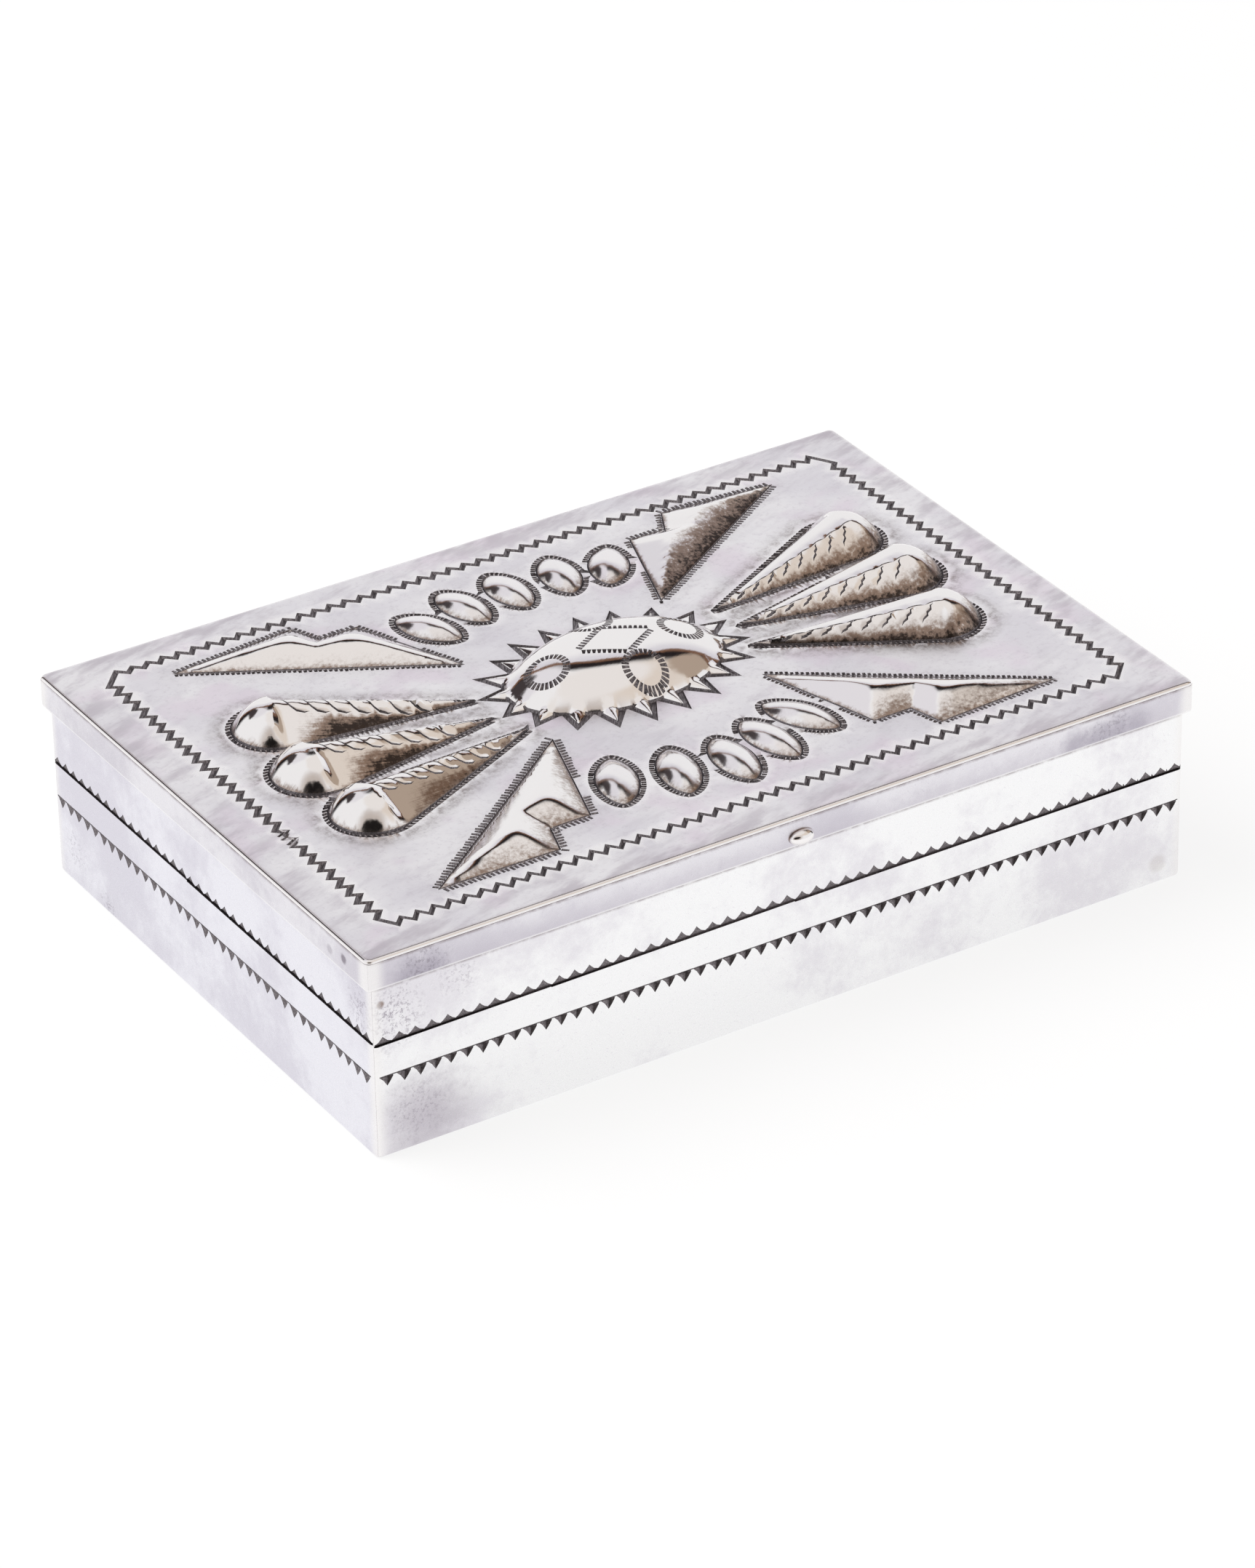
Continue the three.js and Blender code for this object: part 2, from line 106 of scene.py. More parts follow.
# Satin sterling sheet: bright and nearly white, greyed in soft lavender clouds that thicken towards the ends,
# with fine scores, stains and specks of tarnish, a painted shade along the line under an overhanging part,
# a painted highlight along a lower edge, and a painted highlight along the rubbed standing corners
def satin_silver_sheet(name, bright, tarnished, shade_line=None, highlight_height=None, stains=(), specks=()):
    material, tree = new_material(name)
    place = add(tree, "TexCoord", out="Object")
    height = add(tree, "SeparateXYZ", {"Vector": place}, out="Z")
    mirrored = add(tree, "VectorMath", {0: place}, operation="ABSOLUTE")
    far = add(tree, "SeparateXYZ", {"Vector": mirrored}).node.outputs
    wide = add(tree, "TexNoise", {"Vector": place, "Scale": 1 / (17 * MM), "Detail": 5.0})
    fine = add(tree, "TexNoise", {"Vector": place, "Scale": 1 / (1.6 * MM), "Detail": 8.0, "Roughness": 0.68})
    grit = add(tree, "TexNoise", {"Vector": place, "Scale": 1 / (0.42 * MM), "Detail": 5.0, "Roughness": 0.7})
    hair = scratches(tree, place, 0.2, 7, (58, 0, 35))
    scores = scratches(tree, place, 0.22, 6, (-52, 0, 50))

    end = add(tree, "MapRange", {
        "Value": far["X"], "From Min": 30 * MM, "From Max": 56 * MM, "To Max": 0.1,
    }, interpolation_type="SMOOTHSTEP")
    gathered = add(tree, "Math", {0: wide, 1: end}, operation="ADD")
    mottled = add(tree, "Math", {0: fine, 1: 0.3, 2: gathered}, operation="MULTIPLY_ADD")
    colour = coat(tree, linear(bright), mottled, 0.62, 0.84, 0.9, tarnished)
    colour = coat(tree, colour, scores, 0.61, 0.7, 0.55, tarnished)

    # Painted shade: a darker line on the face just under the part that overhangs it
    if shade_line is not None:
        off_line = add(tree, "VectorMath", {0: mirrored, 1: Vector(shade_line) * MM}, operation="SUBTRACT")
        off_line = add(tree, "SeparateXYZ", {"Vector": off_line}).node.outputs
        behind_face = add(tree, "Math", {0: off_line["X"], 1: off_line["Y"]}, operation="MAXIMUM")
        off_height = add(tree, "Math", {0: off_line["Z"]}, operation="ABSOLUTE")
        shade_amount = add(tree, "MapRange", {
            "Value": fine, "From Min": 0.3, "From Max": 0.6, "To Min": 0.15, "To Max": 0.75,
        }, interpolation_type="SMOOTHSTEP")
        shade_amount = add(tree, "MapRange", {
            "Value": behind_face, "From Min": -0.6 * MM, "From Max": -0.3 * MM, "To Max": shade_amount,
        })
        colour = coat(tree, colour, off_height, 0.45 * MM, 0.02 * MM, shade_amount, "#9a9093")
    gritty = add(tree, "MapRange", {
        "Value": grit, "From Min": 0.5, "From Max": 0.62,
    }, interpolation_type="SMOOTHSTEP")
    for spots in (stains, specks):
        for spot, radius, strength, stain in spots:
            middle = Vector(spot) * MM
            away = add(tree, "VectorMath", {0: place, 1: middle}, out="Value", operation="DISTANCE")
            away = add(tree, "Math", {0: fine, 1: radius * MM, 2: away}, operation="MULTIPLY_ADD")
            if spots is specks:
                strength = add(tree, "Math", {0: gritty, 1: strength}, operation="MULTIPLY")
            core = (0.6 if radius > 2 else 0.95) * radius
            colour = coat(tree, colour, away, 1.5 * radius * MM, core * MM, strength, stain)

    # Painted highlight: the standing corners are lightened where their rounding catches the light, over metal
    # rubbed clean
    corner_highlight = add(tree, "MapRange", {
        "Value": far["X"], "From Min": 54.6 * MM, "From Max": 56.4 * MM, "To Max": 0.8,
    }, interpolation_type="SMOOTHSTEP")
    colour = coat(tree, colour, far["Y"], 36.6 * MM, 38.4 * MM, corner_highlight, "#f9f7f6")
    # Painted highlight: a near-white band along the lowest third of a millimetre above the lower edge
    if highlight_height is not None:
        highlight_start, highlight_full = (highlight_height + 0.34) * MM, (highlight_height + 0.18) * MM
        colour = coat(tree, colour, height, highlight_start, highlight_full, 0.6, "#fdfcfc")

    rough = add(tree, "MapRange", {
        "Value": hair, "From Min": 0.3, "From Max": 0.7, "To Min": 0.25, "To Max": 0.35,
    })
    bump = add(tree, "Bump", {"Strength": 0.08, "Distance": 0.01 * MM, "Height": scores})
    metal = add(tree, "BsdfPrincipled", {
        "Base Color": colour, "Metallic": 1.0, "Roughness": rough, "Normal": bump,
    })
    add(tree, "OutputMaterial", {"Surface": metal}, out=None)
    return material


floor_silver = satin_silver_sheet("satin_sterling_floor", "#efeef0", "#c9c4cc")
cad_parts["base_plate"].data.materials.clear()
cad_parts["base_plate"].data.materials.append(floor_silver)


# Walls of the box
# Four strips of the same sheet, mitred and soldered at the corners, with two rows of stamped marks struck
# into each before bending: a band of cusps that points up, and below it single triangles that point down.

CUSP_BASE = 15.12
CUSP_PITCH = 2.04
CUSP_RISE = 1.25
CUSP_BAND = 0.38
POINT_LINE = 10.9
POINT_PITCH = 2.09
POINT_WIDTH = 1.9
POINT_DROP = 1.35


# Blackened silver: the bottoms of stamped marks, where the oxide stays when the face is rubbed bright.
# The grain of the punch shows in it as fine lighter streaks.
def blackened_silver(name, dark, light):
    material, tree = new_material(name)
    place = add(tree, "TexCoord", out="Object")
    grain = scratches(tree, place, 0.16, 1.2, (0, 90, 52))
    colour = coat(tree, linear(dark), grain, 0.38, 0.68, 1.0, light)
    rough = add(tree, "MapRange", {
        "Value": grain, "From Min": 0.35, "From Max": 0.65, "To Min": 0.5, "To Max": 0.36,
    })
    bump = add(tree, "Bump", {"Strength": 0.4, "Distance": 0.02 * MM, "Height": grain})
    metal = add(tree, "BsdfPrincipled", {
        "Base Color": colour, "Metallic": 1.0, "Roughness": rough, "Normal": bump,
    })
    add(tree, "OutputMaterial", {"Surface": metal}, out=None)
    return material


# A mark is grey where its floor rises to the light. The darker copy is a painted shade on the facets turned
# from the light, and oxide in the deepest strip
grey_marks = blackened_silver("greyed_silver_marks", "#6d676a", "#8f898c")
oxide_and_shade_marks = blackened_silver("oxide_and_shade_silver_marks", "#4b4648", "#6e686a")


def apply_modifier(piece, kind, **settings):
    bpy.context.view_layer.objects.active = piece
    modifier = piece.modifiers.new(kind.title(), kind)
    for name, value in settings.items():
        setattr(modifier, name, value)
    bpy.ops.object.modifier_apply(modifier=modifier.name)


# Shades a piece, gives it to its body and lets it take the place of a solid
def fit_piece(piece, smooth_angle, body, node):
    bpy.ops.object.select_all(action="DESELECT")
    piece.select_set(True)
    bpy.context.view_layer.objects.active = piece
    bpy.ops.object.shade_smooth_by_angle(angle=math.radians(smooth_angle))
    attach(piece, body)
    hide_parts(node)


def add_block(name, low, high):
    bpy.ops.object.select_all(action="DESELECT")
    bpy.ops.mesh.primitive_cube_add(size=1, location=(low + high) / 2)
    piece = bpy.context.object
    piece.name = name
    piece.data.name = name
    piece.scale = high - low
    bpy.ops.object.transform_apply(location=True, rotation=True, scale=True)
    return piece


# A strip of sheet with mitred ends. Its standing outer corners are rounded off, so that two strips meet in
# a soft corner with a fine seam in it, and its lower outer edge is eased.
def add_mitred_strip(name, node, corner, lower_edge):
    low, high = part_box(node)
    piece = add_block(name, low, high)
    size = high - low
    across = 1 if size.x > size.y else 0
    along = 1 - across
    gauge, half, radius = size[across], size[along] / 2, corner * MM
    outward = math.copysign(1, low[across] + high[across])
    face = max(abs(low[across]), abs(high[across]))
    bpy.ops.object.mode_set(mode="EDIT")
    for turn in (0, 15, 30):
        inset = radius * (1 - math.sin(math.radians(turn)))
        for end in (-1, 1):
            cut, square = Vector(), Vector()
            cut[along], square[along] = end * (half - inset), 1
            bpy.ops.mesh.select_all(action="SELECT")
            bpy.ops.mesh.bisect(plane_co=cut, plane_no=square)
    mesh = bmesh.from_edit_mesh(piece.data)
    for vertex in mesh.verts:
        end = math.copysign(1, vertex.co[along])
        inset = half - abs(vertex.co[along])
        if vertex.co[across] * outward < face - gauge / 2:
            vertex.co[along] = end * (half - max(inset, gauge))
        elif inset < radius:
            turn = min(math.pi / 4, math.asin(1 - inset / radius))
            vertex.co[along] = end * (half - radius * (1 - math.sin(turn)))
            vertex.co[across] = outward * (face - radius * (1 - math.cos(turn)))
    bmesh.update_edit_mesh(piece.data)
    bpy.ops.mesh.select_all(action="SELECT")
    bpy.ops.mesh.remove_doubles(threshold=0.001 * MM)
    bpy.ops.mesh.select_all(action="DESELECT")
    bpy.ops.mesh.select_mode(type="EDGE")
    mesh = bmesh.from_edit_mesh(piece.data)
    for edge in mesh.edges:
        edge.select_set(all(
            vertex.co.z < low.z + 0.01 * MM and vertex.co[across] * outward > face - gauge * 0.55
            for vertex in edge.verts
        ))
    bmesh.update_edit_mesh(piece.data)
    bpy.ops.mesh.bevel(offset=lower_edge * MM, segments=4, affect="EDGES")
    bpy.ops.object.mode_set(mode="OBJECT")
    apply_modifier(piece, "BEVEL", width=0.06 * MM, segments=2, limit_method="ANGLE")
    return piece


# A closed cutter: its outline stands clear of the face, and each point goes in by its own depth.
# Facets that run from the listed points to the apex take the darker mark material, a painted shade, and a
# floor without an apex takes it when any point is listed.
def add_cutter(mesh, outline, depths, turn, reach, apex=None, shaded_facets=()):
    clear = 0.4
    spin = Matrix.Rotation(turn, 3, "Z")

    def on_wall(along, up, out):
        return spin @ Vector((along, -(reach + out), up)) * MM

    front = [mesh.verts.new(on_wall(along, up, clear)) for along, up in outline]
    back = [mesh.verts.new(on_wall(along, up, -depth)) for (along, up), depth in zip(outline, depths)]
    count = len(outline)
    for i in range(count):
        j = (i + 1) % count
        mesh.faces.new((front[i], front[j], back[j], back[i]))
    mesh.faces.new(list(reversed(front)))
    if apex is None:
        floor = mesh.faces.new(back)
        floor.material_index = 1 if shaded_facets else 0
        return
    along, up, depth = apex
    bottom = mesh.verts.new(on_wall(along, up, -depth))
    for i in range(count):
        facet = mesh.faces.new((back[i], back[(i + 1) % count], bottom))
        facet.material_index = 1 if i in shaded_facets else 0


# The upper row is struck in runs: at each new start the punch sits a little higher or lower
def cusp_outline(runs, draw):
    lower, upper = [], []
    for start, end, first_lift, last_lift, doubled in runs:
        count = round((end - start) / CUSP_PITCH)
        pitch = (end - start) / count
        lower += [(start, CUSP_BASE + first_lift), (end, CUSP_BASE + last_lift)]
        for i in range(count):
            share = i / max(1, count - 1)
            base = CUSP_BASE + first_lift + (last_lift - first_lift) * share
            rise = CUSP_RISE + draw.uniform(-0.1, 0.1) - CUSP_BAND
            middle = start + (i + 0.5) * pitch + draw.uniform(-0.07, 0.07)
            for step in (-0.94, -0.6, -0.3, -0.1, 0.0, 0.12, 0.3, 0.6):
                height = CUSP_BAND + rise * (1 - abs(step)) ** 1.5
                upper.append((middle + step * pitch / 2, base + height))
            if doubled:
                upper.append((middle + 0.8 * pitch / 2, base + CUSP_BAND + 0.05))
                upper.append((middle + 0.9 * pitch / 2, base + CUSP_BAND + 0.35))
    upper.append((runs[-1][1], CUSP_BASE + runs[-1][3] + CUSP_BAND * 0.8))
    return lower, upper[::-1]


def strike_wall(wall, side, length, reach, turn, runs):
    draw = random.Random(f"wall {side}")
    mesh = bmesh.new()
    lower, upper = cusp_outline(runs, draw)
    depths = [0.26 - 0.16 * (up - CUSP_BASE) / CUSP_RISE for along, up in lower + upper]
    add_cutter(mesh, lower + upper, depths, turn, reach)
    seam = [(along, up + 0.2) for along, up in lower[::-1]]
    add_cutter(mesh, lower + seam, [0.4] * len(lower) + [0.2] * len(lower), turn, reach, shaded_facets=(0,))
    half = length / 2 - 0.7
    line_top = POINT_LINE + 0.1
    line = [(-half, POINT_LINE - 0.05), (half, POINT_LINE - 0.03), (half, line_top), (-half, line_top)]
    add_cutter(mesh, line, [0.07] * 4, turn, reach)
    count = round(2 * half / POINT_PITCH)
    pitch = 2 * half / count
    for i in range(count):
        middle = -half + (i + 0.5) * pitch + draw.uniform(-0.1, 0.1)
        top = POINT_LINE + draw.uniform(-0.05, 0.03)
        wide = POINT_WIDTH * draw.uniform(0.92, 1.04) / 2
        drop = POINT_DROP * draw.uniform(0.93, 1.06)
        outline = [
            (middle - 1.08 * wide, top),
            (middle - 0.5 * wide, top - 0.4 * drop),
            (middle + 0.02, top - drop),
            (middle + 0.48 * wide, top - 0.62 * drop),
            (middle + 0.92 * wide, top - 0.16 * drop),
            (middle + 0.9 * wide, top + 0.02),
        ]
        apex = (middle + 0.4 * wide, top - 0.3 * drop, 0.36)
        add_cutter(mesh, outline, [0.02] * 6, turn, reach, apex, shaded_facets=(2, 3, 4))
    bmesh.ops.recalc_face_normals(mesh, faces=mesh.faces)
    cutter_mesh = bpy.data.meshes.new("struck_marks")
    mesh.to_mesh(cutter_mesh)
    mesh.free()
    cutter_mesh.materials.append(grey_marks)
    cutter_mesh.materials.append(oxide_and_shade_marks)
    cutter = bpy.data.objects.new("struck_marks", cutter_mesh)
    bpy.context.collection.objects.link(cutter)
    apply_modifier(wall, "BOOLEAN", object=cutter, operation="DIFFERENCE", solver="EXACT",
                   use_self=True, material_mode="TRANSFER")
    bpy.data.objects.remove(cutter)
    bpy.data.meshes.remove(cutter_mesh)


BODY_LENGTH, BODY_DEPTH = 113, 77
WALLS = {
    "front": (BODY_LENGTH, BODY_DEPTH / 2, 0, [
        (-56.25, -32.8, -0.08, 0.05, False),
        (-32.8, 0.6, -0.04, 0.16, False),
        (0.6, 35.0, 0.06, 0.02, False),
        (35.0, 56.25, 0.0, -0.1, True),
    ]),
    "right": (BODY_DEPTH, BODY_LENGTH / 2, 90, [
        (-38.25, 4.0, 0.02, 0.1, False),
        (4.0, 38.25, -0.05, 0.05, False),
    ]),
    "back": (BODY_LENGTH, BODY_DEPTH / 2, 180, [
        (-56.25, -12.0, 0.0, 0.1, False),
        (-12.0, 28.0, -0.06, 0.04, False),
        (28.0, 56.25, 0.05, -0.04, False),
    ]),
    "left": (BODY_DEPTH, BODY_LENGTH / 2, 270, [
        (-38.25, -5.0, 0.2, 0.28, False),
        (-5.0, 38.25, 0.12, 0.26, False),
    ]),
}
SKIRT_FOOT = 23.2
SKIRT_LINE = (BODY_LENGTH / 2, BODY_DEPTH / 2, SKIRT_FOOT - 0.45)
WALL_STAINS = [
    ((-55.3, -38.5, 20.6), 0.7, 0.9, "#7d5f50"),
    ((-50.0, -38.5, 4.0), 9.0, 0.8, "#c6c0c9"),
    ((53.0, -38.5, 2.8), 1.6, 0.25, "#b9aca6"),
]
WALL_SPECKS = [
    ((-54.0, -38.5, 18.5), 6.5, 0.8, "#a59fa9"),
    ((-51.0, -38.5, 5.0), 6.0, 0.6, "#aba5ae"),
    ((-45.0, -38.5, 21.0), 4.0, 0.5, "#b0aab3"),
    ((-56.5, -36.0, 19.0), 4.0, 0.6, "#aaa4b0"),
    ((-56.5, 33.8, 5.0), 3.5, 0.7, "#a8a2ae"),
    ((-56.5, 26.0, 1.0), 3.0, 0.7, "#a8a2ae"),
]
front_silver = satin_silver_sheet(
    "satin_sterling_sheet", "#fbfbfc", "#e7e4ea", SKIRT_LINE, stains=WALL_STAINS, specks=WALL_SPECKS,
)
# The two ends get a darker, bluer lavender sheet than the front, a painted shade
shaded_end_silver = satin_silver_sheet(
    "shaded_sterling_sheet", "#eeedf4", "#dad7e1", SKIRT_LINE, specks=WALL_SPECKS,
)
for side, (length, reach, turn, runs) in WALLS.items():
    wall = add_mitred_strip(f"stamped_wall_{side}", f"wall_{side}", 0.7, 0.5)
    wall.data.materials.append(shaded_end_silver if side in ("left", "right") else front_silver)
    strike_wall(wall, side, length, reach, math.radians(turn), runs)
    fit_piece(wall, 20, "box", f"wall_{side}")


# Hinge on the wall
# A rail soldered along the back wall carries three cut lengths of silver tube; a drawn wire pin runs
# through them and through the lid's two lengths, with its ends nipped off and rounded.

KNUCKLE_RADIUS = 1.2
KNUCKLE_BORE = 0.61
KNUCKLE_SEAT = 1.3
PIN_RADIUS = 0.55
HINGE_Y, HINGE_Z = 40.0, 21.5

hinge_silver = satin_silver_sheet("soldered_hinge_silver", "#e2e0e3", "#a19da6")


def add_rail(name, node, body):
    low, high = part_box(node)
    rail = add_block(name, low, high)
    apply_modifier(rail, "BEVEL", width=0.18 * MM, segments=3, limit_method="ANGLE")
    rail.data.materials.append(hinge_silver)
    fit_piece(rail, 32, body, node)


# A tube with its bore let in from both ends and a flat of solder on the side that meets its rail
def add_knuckle(name, node, body, side):
    low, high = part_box(node)
    bpy.ops.object.select_all(action="DESELECT")
    place = Vector(((low.x + high.x) / 2, HINGE_Y * MM, HINGE_Z * MM))
    bpy.ops.mesh.primitive_cylinder_add(
        vertices=48, radius=KNUCKLE_RADIUS * MM, depth=high.x - low.x,
        location=place, rotation=(0, math.pi / 2, 0),
    )
    knuckle = bpy.context.object
    knuckle.name = name
    knuckle.data.name = name
    bpy.ops.object.transform_apply(location=True, rotation=True, scale=True)
    bpy.ops.object.mode_set(mode="EDIT")
    bpy.ops.mesh.select_mode(type="FACE")
    mesh = bmesh.from_edit_mesh(knuckle.data)
    for face in mesh.faces:
        face.select_set(abs(face.normal.x) > 0.9)
    bmesh.update_edit_mesh(knuckle.data)
    bpy.ops.mesh.inset(thickness=(KNUCKLE_RADIUS - KNUCKLE_BORE) * MM, depth=0)
    bpy.ops.mesh.bridge_edge_loops()
    bpy.ops.object.mode_set(mode="OBJECT")
    for vertex in knuckle.data.vertices:
        across, up = vertex.co.y - place.y, (vertex.co.z - place.z) * side
        if math.hypot(across, up) > 0.9 * KNUCKLE_RADIUS * MM and up > KNUCKLE_RADIUS * MM * 0.85:
            vertex.co.z = place.z + side * KNUCKLE_SEAT * MM
    knuckle.data.materials.append(hinge_silver)
    fit_piece(knuckle, 32, body, node)


add_rail("wall_hinge_rail", "hinge_rail_body", "box")
for place in ("left", "centre", "right"):
    add_knuckle(f"wall_knuckle_{place}", f"body_knuckle_{place}", "box", -1)

pin_low, pin_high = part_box("hinge_pin")
bpy.ops.object.select_all(action="DESELECT")
bpy.ops.mesh.primitive_cylinder_add(
    vertices=32, radius=PIN_RADIUS * MM, depth=pin_high.x - pin_low.x,
    location=(pin_low + pin_high) / 2, rotation=(0, math.pi / 2, 0),
)
pin = bpy.context.object
pin.name = "wire_hinge_pin"
pin.data.name = pin.name
bpy.ops.object.transform_apply(location=True, rotation=True, scale=True)
apply_modifier(pin, "BEVEL", width=0.25 * MM, segments=4, limit_method="ANGLE")
pin.data.materials.append(hinge_silver)
fit_piece(pin, 32, "box", "hinge_pin")


# Skirt of the lid
# Four thinner strips, mitred like the walls, soldered under the edge of the lid's top so that it slips
# over the box. The lower edge is filed and left a little sharp.

# Handled silver: the skirt is where fingers take the lid, so it is duller and smeared with grey
UNDER_TOP = (57.3, 39.3, 26.8)
SKIRT_STAINS = [
    ((-57.3, -34.0, 25.1), 0.8, 0.85, "#857c88"),
    ((-57.3, -30.8, 24.7), 0.8, 0.45, "#a39ca6"),
]
SKIRT_STAINS += [((x, -39.3, 23.2), 3.4, 0.4, "#c3bdc8") for x in range(-54, 56, 3)]
SKIRT_STAINS += [((x, -39.3, 24.0), 3.0, 0.6, "#a8a2b0") for x in (-52, -49, 40, 43, 46, 49)]
SKIRT_SPECKS = [
    ((-50.0, -39.3, 24.4), 5.0, 0.6, "#8d8791"),
    ((45.0, -39.3, 24.4), 4.5, 0.5, "#918b95"),
]
handled_silver = satin_silver_sheet(
    "handled_sterling_strip", "#eae8ed", "#d3cfd8", UNDER_TOP, SKIRT_FOOT, SKIRT_STAINS, SKIRT_SPECKS,
)
for side in ("front", "right", "back", "left"):
    strip = add_mitred_strip(f"lid_strip_{side}", f"lid_skirt_{side}", 0.7, 0.16)
    strip.data.materials.append(handled_silver)
    fit_piece(strip, 20, "lid", f"lid_skirt_{side}")


# Hinge on the lid
# A second rail on the back of the skirt with the two lengths of tube that fit between the wall's three.

add_rail("lid_hinge_rail", "hinge_rail_lid", "lid")
for place in ("left", "right"):
    add_knuckle(f"lid_tube_{place}", f"lid_knuckle_{place}", "lid", 1)


# Top of the lid
# One sheet of sterling: the forms are pushed up from behind with punches, their outlines sharpened from the
# front, and rows of marks struck round them. The raised parts are rubbed bright and the marks stay black.

LID_LENGTH, LID_DEPTH = 114.6, 78.6
LID_TOP = 27.3
LID_GAUGE = 0.5
LID_CORNER = 0.9

BOSS_CENTRE = Vector((1.2, 1.9))
BOSS_HALF_LENGTH, BOSS_HALF_WIDTH = 14.7, 9.4
BOSS_HEIGHT, BOSS_FULLNESS = 4.2, 3.2
TOOTH_COUNT = 20
TOOTH_REACH = (18.1, 13.5)
TOOTH_HEIGHT = 0.5
TONGUE_SHARE = 0.48

FEATHER_HEIGHT, FEATHER_TIP_HEIGHT = 3.6, 0.3
ROPE_START, ROPE_PITCH = 5.2, 2.5
LEFT_CREASE, RIGHT_CREASE = 0.1, 0.285
CREST_FALL, FLANK_FULLNESS = 0.1, 1.1
END_FULLNESS, END_PASSAGE = 2.6, 0.4
FEATHERS = [
    ((-17.2, 4.3), (-39.9, 12.3), 5.2, LEFT_CREASE, 1.65),
    ((-17.5, -0.6), (-41.1, 0.6), 5.4, LEFT_CREASE, 1.55),
    ((-15.2, -5.0), (-40.0, -11.0), 5.2, LEFT_CREASE, 1.0),
    ((19.0, 7.0), (41.5, 13.3), 5.2, RIGHT_CREASE, 1.3),
    ((19.5, 2.2), (42.6, 2.1), 5.4, RIGHT_CREASE, 1.35),
    ((18.0, -2.8), (40.4, -9.8), 5.2, RIGHT_CREASE, 1.3),
]

DROP_HEIGHT, DROP_HALF_WIDTH = 1.3, 2.6
BACK_DROP_HALF_LENGTH, FRONT_DROP_HALF_LENGTH = 4.8, 5.4
BACK_DROPS = [
    ((-12.5, 22.6), 26),
    ((-6.2, 24.9), 11),
    ((0.5, 25.3), 2),
    ((7.8, 25.2), -11),
    ((14.2, 24.0), -29),
]
FRONT_DROPS = [
    ((-12.7, -21.0), -23),
    ((-5.4, -23.0), -18),
    ((1.5, -24.2), -6),
    ((7.6, -22.6), 7),
    ((13.6, -20.1), 26),
]

ARROW_HEIGHT, ARROW_SLOPE = 2.0, 0.5
ARROW_EDGE, ARROW_BROW = 0.7, 0.6
ARROWS = [
    ([(-43.6, 30.3), (-26.5, 32.0), (-24.9, 28.0), (-19.6, 28.0), (-13.4, 12.9)], 0.35, 0.6),
    ([(42.4, 30.6), (26.9, 32.0), (25.0, 28.2), (19.9, 28.2), (14.9, 13.0)], 1.25, 0.75),
    ([(-42.4, -30.2), (-26.3, -30.4), (-24.8, -25.8), (-19.3, -25.7), (-13.9, -8.5)], 0.55, 0.9),
    ([(43.6, -29.6), (26.7, -30.5), (25.4, -25.9), (20.2, -25.9), (15.3, -9.3)], 0.6, 0.6),
]

CELL = 0.22


# One face of the sheet, drawn flat in millimetres: points with a height and a finish, and the lines that the
# mesh has to follow
class SheetFace:
    def __init__(self):
        self.plan = []
        self.finish = []
        self.lines = []
        self.taken = set()

    def spot(self, x, y, height=0.0, rubbed=0.0, smoke_and_shade=0.0, struck=False):
        self.plan.append(Vector((x, y)))
        self.finish.append((height, rubbed, smoke_and_shade, struck))
        return len(self.plan) - 1

    def chain(self, spots, closed=True):
        self.lines += list(zip(spots, spots[1:]))
        if closed:
            self.lines.append((spots[-1], spots[0]))

    def take(self, x, y):
        column, row = math.floor(x / CELL), math.floor(y / CELL)
        for i in (-1, 0, 1):
            for j in (-1, 0, 1):
                self.taken.add((column + i, row + j))

    def take_line(self, start, end):
        steps = max(1, math.ceil((end - start).length / CELL))
        for k in range(steps + 1):
            self.take(*start.lerp(end, k / steps))

    def is_taken(self, x, y):
        return (math.floor(x / CELL), math.floor(y / CELL)) in self.taken

    # A wedge struck with the corner of a punch, deepest along its middle
    def tick(self, start, way, length, widths, depth, lift, rubbed=0.0, smoke_and_shade=0.1):
        side = Vector((-way.y, way.x)) / 2
        end = start + way * length
        near, far = side * widths[0], side * widths[1]
        rim = (start + near, end + far, end - far, start - near)
        self.chain([self.spot(*p, lift(*p), rubbed, smoke_and_shade) for p in rim])
        floor = (start.lerp(end, 0.15), start.lerp(end, 0.8))
        self.chain([self.spot(*p, lift(*p) - depth, 0.0, 1.0, True) for p in floor], closed=False)
        self.take_line(start, end)

    # A curved line struck with a liner: it thins out at both ends
    def stroke(self, path, width, depth, lift):
        left, right, floor = [], [], []
        last = len(path) - 1
        for i in range(1, last):
            here = path[i]
            run = (path[i + 1] - path[i - 1]).normalized()
            half = Vector((-run.y, run.x)) * width / 2 * math.sin(math.pi * i / last) ** 0.5
            left.append(self.spot(*(here + half), lift(*(here + half)), 1.0, 0.2))
            right.append(self.spot(*(here - half), lift(*(here - half)), 1.0, 0.2))
            floor.append(self.spot(*here, lift(*here) - depth, 0.0, 1.0, True))
        for here, after in zip(path, path[1:]):
            self.take_line(here, after)
        start = self.spot(*path[0], lift(*path[0]), 1.0, 0.2)
        end = self.spot(*path[-1], lift(*path[-1]), 1.0, 0.2)
        self.chain([start, *left, end, *reversed(right)])
        self.chain(floor, closed=False)

    # Points that the mesh adds where two lines cross take the mean of their neighbours
    def triangles(self):
        places, _, faces, origins, _, _ = delaunay_2d_cdt(self.plan, self.lines, [], 1, 1e-5)
        near = [set() for _ in places]
        for face in faces:
            for i in range(len(face)):
                near[face[i]].add(face[i - 1])
                near[face[i - 1]].add(face[i])
        values = []
        for i, origin in enumerate(origins):
            rows = origin[:1] or [origins[k][0] for k in near[i] if origins[k]] or [0]
            means = [sum(self.finish[k][n] for k in rows) / len(rows) for n in range(3)]
            values.append((*means, any(self.finish[k][3] for k in origin)))
        return places, faces, values


